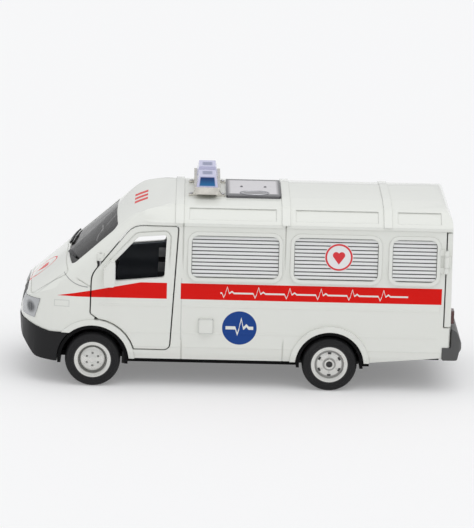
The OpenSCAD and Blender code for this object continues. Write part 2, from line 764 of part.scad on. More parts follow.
module roof_hatch() color("#b9bec2") intersection() {
    difference() {
        section_form(-hatch_t, hatch_x - hatch_len / 2, hatch_x + hatch_len / 2);
        section_form(0, tail_x, front_x);
    }
    along_z(roof_h / 2, roof_h + over) translate([hatch_x, 0]) rounded_rect([hatch_len, hatch_w], hatch_t);
}

// Wheels
rim_r = rim_d / 2;
dish = tyre_w / 5;
hub_r = rim_r / 3;
rim_holes = 6;
module at_wheel(s, x) translate([x, 0, axle_z]) on_side(s) rotate([-90, 0, 0]) children();
module rim(s, x, front) color("#c9ccce") at_wheel(s, x) difference() {
    rotate_extrude() polygon(concat(
        [[axle_r, tyre_in], [rim_r, tyre_in], [rim_r, tyre_out], [rim_r - dish / 2, tyre_out]],
        front
            ? [[rim_r - dish, tyre_out - dish], [rim_r - 3 * dish / 2, tyre_out - 3 * dish / 2],
                [3 * hub_r / 2, tyre_out - dish / 2], [hub_r, tyre_out - dish / 4],
                [axle_r, tyre_out - dish / 4]]
            : [[rim_r - dish, tyre_out - dish / 2], [3 * hub_r / 2, tyre_out - dish],
                [hub_r, tyre_out - dish / 2], [axle_r, tyre_out - dish / 2]]
    ));
    for (i = [1:rim_holes]) rotate(i * 360 / rim_holes)
        translate([rim_r - 2 * dish, 0, tyre_out - 2 * dish]) cylinder(r = dish / 2, h = 2 * dish);
}
module tyre(s, x) color("#1d1d1e") at_wheel(s, x) rotate_extrude() polygon(rounded([
    [rim_r, tyre_in, 0], [tyre_d / 2, tyre_in, dish], [tyre_d / 2, tyre_out, dish], [rim_r, tyre_out, 0]
]));
module axle(x) color("silver") translate([x, 0, axle_z]) rotate([90, 0, 0])
    cylinder(r = axle_r, h = 2 * (tyre_out - dish), center = true);

// Chassis, interior and motor
module liner(s, x, r) on_side(s) along_left(tyre_in - well_gap, tyre_out) difference() {
    wheel_arch(x, r - liner_gap);
    wheel_arch(x, r - liner_gap - liner_t);
    translate([x - 2 * r, plate_z - 4 * r]) square([4 * r, 4 * r]);
}
module wheel_room(s, x, r) on_side(s) let (reach = r - liner_gap - liner_t / 2)
    block([x - reach, tyre_in - well_gap, 0], [x + reach, half_w, roof_h]);
motor_half = [9, 11.5];
motor_flange = 1;
motor_top = floor_z - plate_gap;
// Where the plate steps up behind the motor
tail_start = rear_x - motor_half.x - motor_flange - plate_gap;
module chassis() color("#1b1c1e") difference() {
    union() {
        difference() {
            union() {
                block(
                    [tail_start - plate_t, -plate_half, plate_z],
                    [plate_front_share * overall_len, plate_half, plate_top]
                );
                block(
                    [tail_start - plate_t, -plate_half, plate_z],
                    [tail_start, plate_half, plate_top + tail_step]
                );
                block(
                    [plate_rear_share * overall_len, -plate_half, plate_z + tail_step],
                    [tail_start, plate_half, plate_top + tail_step]
                );
            }
            for (s = [-1, 1]) {
                wheel_room(s, front_x, front_arch_r);
                wheel_room(s, rear_x, rear_arch_r);
            }
        }
        for (s = [-1, 1]) {
            liner(s, front_x, front_arch_r);
            liner(s, rear_x, rear_arch_r);
            on_side(s) block(
                [rear_x + rear_arch_r + lip_w, plate_half - upstand_t, plate_top],
                [front_x - front_arch_r - lip_w, plate_half, floor_z]
            );
        }
        block(
            [front_x - beam_half, well_gap - tyre_in, axle_z - beam_half],
            [front_x + beam_half, tyre_in - well_gap, axle_z + beam_half]
        );
    }
    translate([front_x, 0, axle_z]) rotate([90, 0, 0]) cylinder(r = bore_r, h = body_w, center = true);
    block(
        [rear_x - motor_half.x - fit, -motor_half.y - fit, 0],
        [rear_x + motor_half.x + fit, motor_half.y + fit, roof_h]
    );
    block([rear_x - axle_r - liner_gap, -tyre_in, 0], [rear_x + axle_r + liner_gap, tyre_in, roof_h]);
    for (i = [0:2]) translate([screw_place(i).x, screw_place(i).y, 0]) {
        cylinder(d = screw_d + 2 * fit, h = roof_h);
        cylinder(d = screw_head_d + 2 * fit, h = screw_z(i) + screw_head_h);
    }
}
module motor_case() color("#2c2e31") difference() {
    union() {
        block(
            [rear_x - motor_half.x, -motor_half.y, axle_z - beam_half],
            [rear_x + motor_half.x, motor_half.y, motor_top]
        );
        block(
            [rear_x - motor_half.x - motor_flange, -motor_half.y - motor_flange, plate_top],
            [rear_x + motor_half.x + motor_flange, motor_half.y + motor_flange, plate_top + motor_flange]
        );
    }
    translate([rear_x, 0, axle_z]) rotate([90, 0, 0]) cylinder(r = bore_r, h = body_w, center = true);
}
module screw(i) color("silver") translate([screw_place(i).x, screw_place(i).y, screw_z(i)]) {
    cylinder(d = screw_head_d, h = screw_head_h);
    cylinder(d = screw_d, h = plate_t + screw_len);
}
tub_half_share = 0.872;
tub_half = tub_half_share * half_w;
tub_rear_share = -0.43;
toe_shares = [[0.245, 0.355], [0.285, 0.385]];
dash_shares = [[0.36, 0.385], [0.362, 0.6], [0.335, 0.615], [0.315, 0.53], [0.32, 0.42]];
dash_half_share = 0.75;
seat_shares = [[0.165, 0.245], [0.17, 0.6]];
seat_w = 11;
seat_y = 8.4;
seat_back_t = 3;
cushion_h = 6;
well_x = rear_arch_r + lip_w / 2;
module seat(y) let (x = seat_shares[0] * overall_len) {
    block([x[0], y - seat_w / 2, floor_z], [x[1], y + seat_w / 2, floor_top + cushion_h]);
    block([x[0], y - seat_w / 2, floor_z], [x[0] + seat_back_t, y + seat_w / 2, seat_shares[1].y * roof_h]);
}
module interior_tub() color("#202226") difference() {
    union() {
        block(
            [tub_rear_share * overall_len, -tub_half, floor_z],
            [toe_shares[0].x * overall_len, tub_half, floor_top]
        );
        for (s = [-1, 1]) on_side(s) block([rear_x - well_x, tyre_in - 2 * well_gap, floor_z],
            [rear_x + well_x, tub_half, axle_z + rear_arch_r + floor_t]);
        along_y(2 * dash_half_share * half_w) polygon(concat(
            [[toe_shares[0].x * overall_len - floor_t, floor_z], [toe_shares[0].x * overall_len, floor_z]],
            [for (p = [toe_shares[1]]) [p.x * overall_len, p.y * roof_h - floor_t]],
            [for (p = dash_shares) [p.x * overall_len, p.y * roof_h]],
            [for (p = [toe_shares[1]]) [p.x * overall_len, p.y * roof_h + floor_t]],
            [[toe_shares[0].x * overall_len - floor_t, floor_top]]
        ));
        for (y = [-seat_y, seat_y]) seat(y);
    }
    for (s = [-1, 1]) rear_arch_cut(s);
}
wheel_r = 4.2;
wheel_bar = 0.45;
wheel_place_shares = [0.293, 0.555];
wheel_tilt = 65;
module steering_wheel() color("#141516")
    translate([wheel_place_shares.x * overall_len, seat_y, wheel_place_shares.y * roof_h])
    rotate([0, wheel_tilt, 0]) {
        rotate_extrude() translate([wheel_r, 0]) circle(wheel_bar);
        cube([2 * wheel_r, 2 * wheel_bar, wheel_bar], center = true);
        cylinder(r = 2 * wheel_bar, h = wheel_bar, center = true);
        cylinder(r = wheel_bar, h = wheel_r);
    }

body_shell();
chassis();
interior_tub();
steering_wheel();
windscreen();
side_glazing(1);  // left_side_glazing
side_glazing(-1);  // right_side_glazing
wiper(1);  // left_wiper
wiper(-1);  // right_wiper
front_door(1);  // left_front_door
front_door(-1);  // right_front_door
door_card(1);  // left_door_card
door_card(-1);  // right_door_card
door_pin(1);  // left_door_pin
door_pin(-1);  // right_door_pin
mirror_block(1);  // left_mirror
mirror_block(-1);  // right_mirror
rear_door(1);  // left_rear_door
rear_door(-1);  // right_rear_door
rear_glass(1);  // left_rear_glass
rear_glass(-1);  // right_rear_glass
rear_pin(1);  // left_rear_pin
rear_pin(-1);  // right_rear_pin
tail_lamp(1);  // left_tail_lamp
tail_lamp(-1);  // right_tail_lamp
grille();
headlight(1);  // left_headlight
headlight(-1);  // right_headlight
front_bumper();
rear_bumper();
lightbar_base();
beacon(1);  // left_beacon
beacon(-1);  // right_beacon
roof_hatch();
axle(front_x);  // front_axle
rim(1, front_x, true);  // left_front_rim
rim(-1, front_x, true);  // right_front_rim
tyre(1, front_x);  // left_front_tyre
tyre(-1, front_x);  // right_front_tyre
axle(rear_x);  // rear_axle
rim(1, rear_x, false);  // left_rear_rim
rim(-1, rear_x, false);  // right_rear_rim
tyre(1, rear_x);  // left_rear_tyre
tyre(-1, rear_x);  // right_rear_tyre
motor_case();
screw(0);  // front_screw
screw(1);  // left_rear_screw
screw(2);  // right_rear_screw
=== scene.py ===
"""Dresses the solids of a toy ambulance and puts it in a plain studio.

The frame is the solids' own: +X forward, +Y to the van's left, +Z up, with the origin on the ground under its
middle. Sizes are in millimetres and become metres where a mesh or a shader needs them.
"""

from __future__ import annotations

import json
import logging
import math
from dataclasses import dataclass, field, replace
from enum import Enum
from typing import Any, Sequence

import bmesh
import bpy
from mathutils import Matrix, Vector

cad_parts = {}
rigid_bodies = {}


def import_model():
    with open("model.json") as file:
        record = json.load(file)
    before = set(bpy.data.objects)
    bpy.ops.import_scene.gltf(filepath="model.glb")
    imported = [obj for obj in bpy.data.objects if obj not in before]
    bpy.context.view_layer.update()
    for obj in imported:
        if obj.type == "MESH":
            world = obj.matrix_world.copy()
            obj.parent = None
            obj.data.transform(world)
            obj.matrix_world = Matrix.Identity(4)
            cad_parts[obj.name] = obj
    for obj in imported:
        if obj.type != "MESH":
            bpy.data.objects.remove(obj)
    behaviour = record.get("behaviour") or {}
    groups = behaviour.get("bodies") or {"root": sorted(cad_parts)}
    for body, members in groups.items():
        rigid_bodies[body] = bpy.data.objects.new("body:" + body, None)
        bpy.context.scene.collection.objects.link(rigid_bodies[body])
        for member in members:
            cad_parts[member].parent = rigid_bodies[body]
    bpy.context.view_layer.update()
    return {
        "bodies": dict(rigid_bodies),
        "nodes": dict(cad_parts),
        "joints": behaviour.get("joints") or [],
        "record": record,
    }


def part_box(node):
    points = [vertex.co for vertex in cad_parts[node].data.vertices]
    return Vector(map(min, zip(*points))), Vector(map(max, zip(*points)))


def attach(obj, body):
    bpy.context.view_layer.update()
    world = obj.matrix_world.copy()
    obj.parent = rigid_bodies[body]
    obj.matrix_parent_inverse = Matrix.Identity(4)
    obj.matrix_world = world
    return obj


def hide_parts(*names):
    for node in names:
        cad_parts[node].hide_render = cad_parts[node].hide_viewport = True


LOG = logging.getLogger("toy_ambulance")
MM = 0.001
FULL_TURN = 2 * math.pi
Colour = tuple[float, float, float]
Outline = tuple[tuple[float, float], ...]
RUBBER: Colour = (0.011, 0.011, 0.012)
RIM_SILVER: Colour = (0.74, 0.74, 0.71)


class Side(Enum):
    """A side of the van, by the sign of its Y."""

    LEFT = 1
    RIGHT = -1

    @property
    def word(self) -> str:
        """Return the side as it stands in names."""
        return self.name.lower()


class End(Enum):
    """An end of the van, as it stands in names."""

    FRONT = "front"
    REAR = "rear"

    def axle(self) -> tuple[float, float]:
        """Return how far forward and how high this end's axle lies."""
        low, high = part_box(f"{self.value}_axle")
        return (low.x + high.x) / 2 / MM, (low.z + high.z) / 2 / MM


class Body(Enum):
    """The bodies that pieces ride on."""

    VAN = "van"
    FRONT_WHEELS = "front_wheels"
    REAR_WHEELS = "rear_wheels"
    LEFT_FRONT_DOOR = "left_front_door_leaf"
    RIGHT_FRONT_DOOR = "right_front_door_leaf"


@dataclass(frozen=True)
class Span:
    """A stretch between two places on one axis, or between two shares."""

    low: float
    high: float

    @property
    def middle(self) -> float:
        """Return the place half-way along."""
        return (self.low + self.high) / 2

    @property
    def length(self) -> float:
        """Return the distance between the ends."""
        return self.high - self.low

    def times(self, size: float) -> Span:
        """Return the stretch that these shares of a size make."""
        return Span(self.low * size, self.high * size)


class Value:
    """A node's output that Python's operators can work with."""

    def __init__(self, tree: Tree, socket: bpy.types.NodeSocket) -> None:
        """Keep the tree and the socket."""
        self.tree = tree
        self.socket = socket

    def _math(self, operation: str, *others: Value | float) -> Value:
        """Return a Math node's result on this value and others."""
        return self.tree.math(operation, self, *others)

    def __add__(self, other: Value | float) -> Value:
        """Return the sum."""
        return self._math("ADD", other)

    __radd__ = __add__

    def __mul__(self, other: Value | float) -> Value:
        """Return the product."""
        return self._math("MULTIPLY", other)

    __rmul__ = __mul__

    def __sub__(self, other: Value | float) -> Value:
        """Return the difference."""
        return self._math("SUBTRACT", other)

    def __rsub__(self, other: float) -> Value:
        """Return a number minus this value."""
        return self.tree.math("SUBTRACT", other, self)

    def __truediv__(self, other: Value | float) -> Value:
        """Return the quotient."""
        return self._math("DIVIDE", other)

    def __pow__(self, power: float) -> Value:
        """Return a power of this value."""
        return self._math("POWER", power)

    def __abs__(self) -> Value:
        """Return the value without its sign."""
        return self._math("ABSOLUTE")

    def fraction(self) -> Value:
        """Return what follows the decimal point."""
        return self._math("FRACT")

    def wave(self, pitch: float) -> Value:
        """Return a sine wave that repeats at a pitch."""
        return (self * (FULL_TURN / pitch))._math("SINE")

    def most(self, other: Value | float) -> Value:
        """Return the larger of two values."""
        return self._math("MAXIMUM", other)

    def least(self, other: Value | float) -> Value:
        """Return the smaller of two values."""
        return self._math("MINIMUM", other)

    def reach(self, other: Value) -> Value:
        """Return the distance from nought on a plane of two values."""
        return (self * self + other * other) ** 0.5

    def rise(self, at: Value | float, edge: float) -> Value:
        """Return 0 below a place, 1 above it and a half on it.

        Args:
            at: where the step lies.
            edge: the width over which it rises.

        Returns:
            The step as a mask.
        """
        return self.tree.math("MULTIPLY_ADD", self - at, 1 / edge, 0.5, clamp=True)

    def band(self, low: Value | float, high: Value | float, edge: float) -> Value:
        """Return 1 between two places and 0 outside them.

        Args:
            low: the lower end.
            high: the upper end.
            edge: the width over which each end fades.

        Returns:
            The band as a mask.
        """
        return self.rise(low, edge) * (1 - self.rise(high, edge))

    def within(self, span: Span, edge: float) -> Value:
        """Return 1 on a stretch and 0 outside it."""
        return self.band(span.low, span.high, edge)

    def tent(self, at: float, half: float, height: float) -> Value:
        """Return a triangular peak.

        Args:
            at: the place of its tip.
            half: half its width at the foot.
            height: its height, below zero for a dip.

        Returns:
            The peak as a value.
        """
        return (1 - abs(self - at) / half).most(0) * height


class Tree:
    """A node tree with one way to add its nodes."""

    def __init__(self, nodes: bpy.types.NodeTree) -> None:
        """Take over a tree and empty it."""
        self.nodes = nodes
        nodes.nodes.clear()

    @staticmethod
    def _socket(sockets: Any, key: str | int) -> bpy.types.NodeSocket:
        """Find a socket.

        Args:
            sockets: a node's inputs or outputs.
            key: the socket's index, identifier or name.

        Returns:
            The socket.
        """
        if isinstance(key, int):
            return sockets[key]
        return next((s for s in sockets if s.identifier == key), None) or sockets[key]

    def add(
        self,
        kind: str,
        settings: dict[str, Any] | None = None,
        inputs: dict[str | int, Any] | None = None,
        output: str | int = 0,
    ) -> Value:
        """Add a node.

        Args:
            kind: the node's type.
            settings: its properties, set before its sockets.
            inputs: values or links of its sockets, by index, identifier or name.
            output: which output to return.

        Returns:
            The chosen output.
        """
        node = self.nodes.nodes.new(kind)
        for name, value in (settings or {}).items():
            setattr(node, name, value)
        for key, value in (inputs or {}).items():
            socket = self._socket(node.inputs, key)
            if isinstance(value, Value):
                self.nodes.links.new(value.socket, socket)
            else:
                socket.default_value = value
        return Value(self, self._socket(node.outputs, output) if len(node.outputs) else None)

    def math(self, operation: str, *values: Value | float, clamp: bool = False) -> Value:
        """Add a Math node and return its result."""
        settings = {"operation": operation, "use_clamp": clamp}
        return self.add("ShaderNodeMath", settings, dict(enumerate(values)))

    def mix(self, factor: Value | float, under: Value | Colour, over: Value | Colour) -> Value:
        """Return one colour laid over another by a mask.

        Args:
            factor: the mask, 1 where the upper colour shows.
            under: the lower colour.
            over: the upper colour.

        Returns:
            The mixed colour.
        """
        colours = [c if isinstance(c, Value) else (*c, 1.0) for c in (under, over)]
        inputs = {"Factor_Float": factor, "A_Color": colours[0], "B_Color": colours[1]}
        return self.add("ShaderNodeMix", {"data_type": "RGBA"}, inputs, "Result_Color")


class Surface(Tree):
    """A material's tree, with places on the object in millimetres and masks that its parts share."""

    noise_detail: float = 2.0

    def __init__(self, name: str) -> None:
        """Start a material.

        Args:
            name: the material's name.
        """
        self.material = bpy.data.materials.new(name)
        self.material.use_nodes = True
        super().__init__(self.material.node_tree)
        self.place = self.add("ShaderNodeTexCoord", output="Object")
        parts = self.add("ShaderNodeSeparateXYZ", inputs={0: self.place}).socket.node.outputs
        self.x, self.y, self.z = (Value(self, s) / MM for s in parts)
        self.masks: dict[str, Value] = {}

    def noise(self, size_mm: float) -> Value:
        """Return noise between 0 and 1 with blotches of a given size."""
        inputs = {"Vector": self.place, "Scale": 1 / (size_mm * MM), "Detail": self.noise_detail}
        return self.add("ShaderNodeTexNoise", inputs=inputs)


@dataclass(frozen=True)
class Finish:
    """A painted or moulded surface with a fine grain and a faint mottle."""

    name: str
    colour: Colour
    roughness: float = 0.4
    metallic: float = 0.0
    coat: float = 0.0
    specular: float = 0.5
    mottle: float = 0.04
    mottle_mm: float = 14.0
    gloss_share: float = 1 / 3
    gloss_swing: float = 0.3
    grain_mm: float = 0.35
    grain_h: float = 0.004
    soft_edge: float = 0.0
    soft_samples: int = 6
    alpha: float = 1.0

    def paint(self, s: Surface) -> Value:
        """Return the colour over the surface."""
        dark = tuple(c * (1 - 2 * self.mottle) for c in self.colour)
        return s.mix(s.noise(self.mottle_mm), dark, self.colour)

    def relief(self, s: Surface) -> Value:
        """Return the height over the surface in millimetres."""
        return s.noise(self.grain_mm) * self.grain_h

    def gloss(self, s: Surface) -> Value:
        """Return the roughness, which swings a little about its own value."""
        swing = s.noise(self.mottle_mm * self.gloss_share) * (self.gloss_swing * self.roughness)
        return swing + (1 - self.gloss_swing / 2) * self.roughness

    def metal(self, s: Surface) -> Value | float:
        """Return how metallic the surface is."""
        return self.metallic

    def varnish(self, s: Surface) -> Value | float:
        """Return the weight of the clear coat."""
        return self.coat

    def material(self) -> bpy.types.Material:
        """Build the material, paint first because it leaves the masks that the rest reads.

        Returns:
            A new material whose nodes follow this finish.
        """
        s = Surface(self.name)
        paint = self.paint(s)
        bump = {"Strength": 1.0, "Distance": MM, "Height": self.relief(s)}
        if self.soft_edge:
            radius = {"Radius": self.soft_edge * MM}
            bump["Normal"] = s.add("ShaderNodeBevel", {"samples": self.soft_samples}, radius)
        inputs = {
            "Base Color": paint,
            "Roughness": self.gloss(s),
            "Metallic": self.metal(s),
            "Specular IOR Level": self.specular,
            "Coat Weight": self.varnish(s),
            "Alpha": self.alpha,
            "Normal": s.add("ShaderNodeBump", inputs=bump),
        }
        shader = s.add("ShaderNodeBsdfPrincipled", inputs=inputs)
        s.add("ShaderNodeOutputMaterial", inputs={"Surface": shader})
        return s.material


@dataclass(frozen=True)
class Heart:
    """A heart that reaches about one unit from its middle: two round lobes over a wedge."""

    lobe_u: float = 0.47
    lobe_v: float = 0.42
    lobe_r: float = 0.56
    lobe_edge: float = 0.06
    slope: float = 1.35
    tip_v: float = -1.155
    side_edge: float = 0.08
    top_v: float = 0.2
    top_edge: float = 0.02

    def mask(self, u: Value, v: Value) -> Value:
        """Draw the heart.

        Args:
            u: the place across it.
            v: the place up it.

        Returns:
            The heart as a mask.
        """
        off = abs(u)
        across, up = off - self.lobe_u, v - self.lobe_v
        lobes = 1 - (across * across + up * up).rise(self.lobe_r**2, self.lobe_edge)
        sides = (v - off * self.slope).rise(self.tip_v, self.side_edge)
        return lobes.most(sides * (1 - v.rise(self.top_v, self.top_edge)))


@dataclass(frozen=True)
class BodyPaint(Finish):
    """White enamel with pressed seams darkened by painted shade, and prints: stripe, pulse line, badge, bars
    and a ring on the hood.
    """

    red: Colour = (0.72, 0.004, 0.001)
    blue: Colour = (0.01, 0.055, 0.26)
    shade: Colour = (0.3, 0.31, 0.31)
    edge: float = 0.06
    fade: float = 1.0
    # Where the flanks, their outer skin and the nose begin
    flank_y: float = 14.0
    skin_y: float = 21.6
    nose_x: float = 44.0
    # The stripe, which runs out to a point on the nose
    stripe: Span = Span(26.75, 31.5)
    tip_x: float = 52.8
    tip_z: float = 26.8
    full_x: float = 29.0
    door_x: float = 21.4
    side_stripe: Span = Span(-57.7, 17.45)
    # The pulse line, with the place, half width and height of each peak of a beat as shares
    pulse: Span = Span(-48.0, 6.0)
    pulse_drop: float = 0.3
    pulse_share: float = 0.38
    beat: float = 9.0
    beat_shares: tuple[tuple[float, float, float], ...] = (
        (0.3, 0.07, 0.28),
        (0.45, 0.06, 1.0),
        (0.56, 0.06, -0.7),
    )
    line: float = 0.24
    # The badge and its own line
    badge_x: float = 0.3
    badge_z: float = 18.5
    badge_r: float = 5.0
    badge_beat_share: float = 0.55
    badge_line_share: float = 0.8
    # The bars on the brow of the roof
    bars_x: Span = Span(27.6, 31.4)
    bars_y: Span = Span(-6.6, 6.6)
    bars: int = 3
    bar_share: Span = Span(0.2, 0.8)
    bar_edge: float = 0.04
    brow_z: float = 48.0
    # The ring and heart on the hood
    hood_x: float = 57.9
    hood_z: float = 24.0
    hood_r: float = 4.6
    hood_squeeze: float = 1.12
    hood_ring_share: Span = Span(0.9, 1.0)
    hood_heart_share: float = 0.4
    heart: Heart = Heart()
    # The pressed seams of the wings, the side marker, the fuel flap and the post behind the door, darkened by
    # painted shade
    seam: float = 0.13
    seam_h: float = 0.12
    seam_shade: float = 0.8
    cowl: Span = Span(44.15, 51.1)
    cowl_z: float = 29.7
    cowl_rise: float = 0.07
    crease: Span = Span(51.1, 58.4)
    crease_z: float = 33.0
    crease_fall: float = 0.83
    crease_fade: float = 4.0
    crease_shade: float = 0.35
    marker_x: Span = Span(49.5, 53.7)
    marker_z: Span = Span(23.6, 25.4)
    marker_shade: float = 0.3
    flap_x: float = 10.0
    flap_z: float = 18.9
    flap_half: float = 2.05
    flap_shade: float = 0.35
    panel_x: float = 17.2
    panel_z: Span = Span(14.5, 33.0)
    panel_shade: float = 0.4
    # The low ridges along the flanks
    ridges: tuple[float, ...] = (24.7, 16.7)
    ridge_x: Span = Span(-57.0, 41.0)
    ridge_half: float = 0.3
    ridge_h: float = 0.05

    def _line(self, off: Value, half: float) -> Value:
        """Return a thin line where a distance is nought."""
        return 1 - abs(off).rise(half, self.edge)

    def _beat(self, t: Value, size: float) -> Value:
        """Return one heartbeat along a value that runs from 0 to 1."""
        return sum(t.tent(at, half, height * size) for at, half, height in self.beat_shares)

    def _seams(self, s: Surface) -> Value:
        """Draw the painted shade in the pressed seams.

        Args:
            s: the surface.

        Returns:
            The painted shade of the seams as a mask, below 1 where it is faint.
        """
        back = s.x - self.cowl.low
        cowl = self._line(s.z - back * back * self.cowl_rise - self.cowl_z, self.seam)
        cowl = cowl * s.x.within(self.cowl, self.edge)
        crease = self._line(s.z - self.crease_z + (s.x - self.crease.low) * self.crease_fall, self.seam)
        crease = crease * s.x.within(self.crease, self.crease_fade) * self.crease_shade
        wide, tall = self.marker_x, self.marker_z
        marker = abs(s.x - wide.middle) - wide.length / 2
        marker = marker.most(abs(s.z - tall.middle) - tall.length / 2)
        flap = abs(s.x - self.flap_x).most(abs(s.z - self.flap_z)) - self.flap_half
        panel = self._line(s.x - self.panel_x, self.seam) * s.z.within(self.panel_z, self.edge)
        faint = self._line(marker, self.seam) * self.marker_shade
        faint = faint + self._line(flap, self.seam) * self.flap_shade + panel * self.panel_shade
        return (cowl + crease + faint) * abs(s.y).rise(self.flank_y, self.edge)

    def _stripe(self, s: Surface, skin: Value) -> Value:
        """Draw the stripe.

        Args:
            s: the surface.
            skin: the outer skin of the flanks, as a mask.

        Returns:
            The stripe as a mask.
        """
        share = ((self.tip_x - s.x) / (self.tip_x - self.full_x)).least(1).most(0)
        top = share * (self.stripe.high - self.tip_z) + self.tip_z
        door = s.x.band(self.door_x, self.tip_x, self.edge) * abs(s.y).rise(self.flank_y, self.edge)
        door = door * skin.most(s.x.rise(self.nose_x, self.edge))
        along = door + s.x.within(self.side_stripe, self.edge) * skin
        return s.z.band(self.stripe.low, top, self.edge) * along

    def _pulse(self, s: Surface) -> Value:
        """Draw the pulse line.

        Args:
            s: the surface.

        Returns:
            The line as a mask, also outside the stripe.
        """
        beat = self._beat((s.x / self.beat).fraction(), self.stripe.length * self.pulse_share)
        height = beat + self.stripe.middle - self.pulse_drop
        return self._line(s.z - height, self.line) * s.x.within(self.pulse, self.edge)

    def _badge(self, s: Surface) -> tuple[Value, Value]:
        """Draw the badge.

        Args:
            s: the surface.

        Returns:
            The masks of its disc and of the line on it.
        """
        right, up = s.x - self.badge_x, s.z - self.badge_z
        reach = right.reach(up)
        beat = self._beat(right / (2 * self.badge_r) + 0.5, self.badge_r * self.badge_beat_share)
        inside = 1 - reach.rise(self.badge_line_share * self.badge_r, self.edge)
        return 1 - reach.rise(self.badge_r, self.edge), self._line(up - beat, 2 * self.line) * inside

    def _bars(self, s: Surface) -> Value:
        """Draw the bars.

        Args:
            s: the surface.

        Returns:
            The bars as a mask.
        """
        pitch = self.bars_y.length / self.bars
        bar = ((s.y - self.bars_y.low) / pitch).fraction().within(self.bar_share, self.bar_edge)
        bars = bar * s.y.within(self.bars_y, self.edge) * s.x.within(self.bars_x, self.edge)
        return bars * s.z.rise(self.brow_z, self.fade)

    def _hood(self, s: Surface) -> Value:
        """Draw the ring and heart on the hood.

        Args:
            s: the surface.

        Returns:
            Both as one mask.
        """
        along = (self.hood_x - s.x) * self.hood_squeeze
        ring = along.reach(s.y).within(self.hood_ring_share.times(self.hood_r), self.edge)
        size = self.hood_heart_share * self.hood_r
        return (ring + self.heart.mask(s.y / size, along / size)) * s.z.rise(self.hood_z, self.fade)

    def paint(self, s: Surface) -> Value:
        """Lay the painted shade of the seams and the prints on the enamel.

        Args:
            s: the surface, which also gets the masks of the seams and the prints.

        Returns:
            The colour over the surface.
        """
        skin = abs(s.y).rise(self.skin_y, self.edge)
        stripe = self._stripe(s, skin)
        disc, line = self._badge(s)
        badge = disc * skin
        red = stripe + self._bars(s) + self._hood(s)
        s.masks["seams"] = self._seams(s)
        s.masks["prints"] = (red + badge).least(1)
        # Painted shade: the enamel turns grey in the pressed seams, the crease and the outlines of the
        # marker, fuel flap and door post
        colour = s.mix(s.masks["seams"] * self.seam_shade, super().paint(s), self.shade)
        colour = s.mix(red.least(1), colour, self.red)
        colour = s.mix(self._pulse(s) * stripe, colour, self.colour)
        colour = s.mix(badge, colour, self.blue)
        return s.mix(line * badge, colour, self.colour)

    def relief(self, s: Surface) -> Value:
        """Press the seams and ridges into the smooth enamel.

        Args:
            s: the surface.

        Returns:
            The height over the surface in millimetres.
        """
        height = super().relief(s) - s.masks["seams"] * self.seam_h
        along = s.x.within(self.ridge_x, self.fade) * self.ridge_h
        for z in self.ridges:
            height = height + self._line(s.z - z, self.ridge_half) * along
        return height

    def varnish(self, s: Surface) -> Value:
        """Return the clear coat, which the prints go without."""
        return (1 - s.masks["prints"]) * self.coat


@dataclass(frozen=True)
class Roundel(Finish):
    """White film with a red ring and a heart, about a place on the side of the van."""

    red: Colour = (0.7, 0.02, 0.03)
    at_x: float = 0.0
    at_z: float = 0.0
    film_r: float = 4.0
    ring_share: Span = Span(0.83, 0.96)
    heart_share: float = 0.42
    heart_drop: float = 0.08
    heart: Heart = Heart()
    edge: float = 0.06

    def paint(self, s: Surface) -> Value:
        """Lay the ring and the heart on the film.

        Args:
            s: the surface.

        Returns:
            The colour over the surface.
        """
        right, up = s.x - self.at_x, s.z - self.at_z
        ring = right.reach(up).within(self.ring_share.times(self.film_r), self.edge)
        size = self.heart_share * self.film_r
        heart = self.heart.mask(right / size, up / size + self.heart_drop)
        return s.mix((ring + heart).least(1), super().paint(s), self.red)


@dataclass(frozen=True)
class WheelFinish(Finish):
    """A finish that goes round an axle."""

    axle: tuple[float, float] = (0.0, 0.0)

    def about_axle(self, s: Surface) -> tuple[Value, Value]:
        """Return how far before the axle and above it a point lies."""
        return s.x - self.axle[0], s.z - self.axle[1]


@dataclass(frozen=True)
class TyreRubber(WheelFinish):
    """Matt rubber with moulded rings on the wall and fine grooves round the tread."""

    wall_r: float = 7.0
    shoulder: float = 0.3
    ring_pitch: float = 0.55
    ring_h: float = 0.05
    tread_pitch: float = 0.9

    def relief(self, s: Surface) -> Value:
        """Mould the rings and grooves.

        Args:
            s: the surface.

        Returns:
            The height over the surface in millimetres.
        """
        across, up = self.about_axle(s)
        reach = across.reach(up)
        tread = reach.rise(self.wall_r, self.shoulder)
        rings = reach.wave(self.ring_pitch) * (1 - tread)
        return super().relief(s) + (rings + s.y.wave(self.tread_pitch) * tread) * self.ring_h


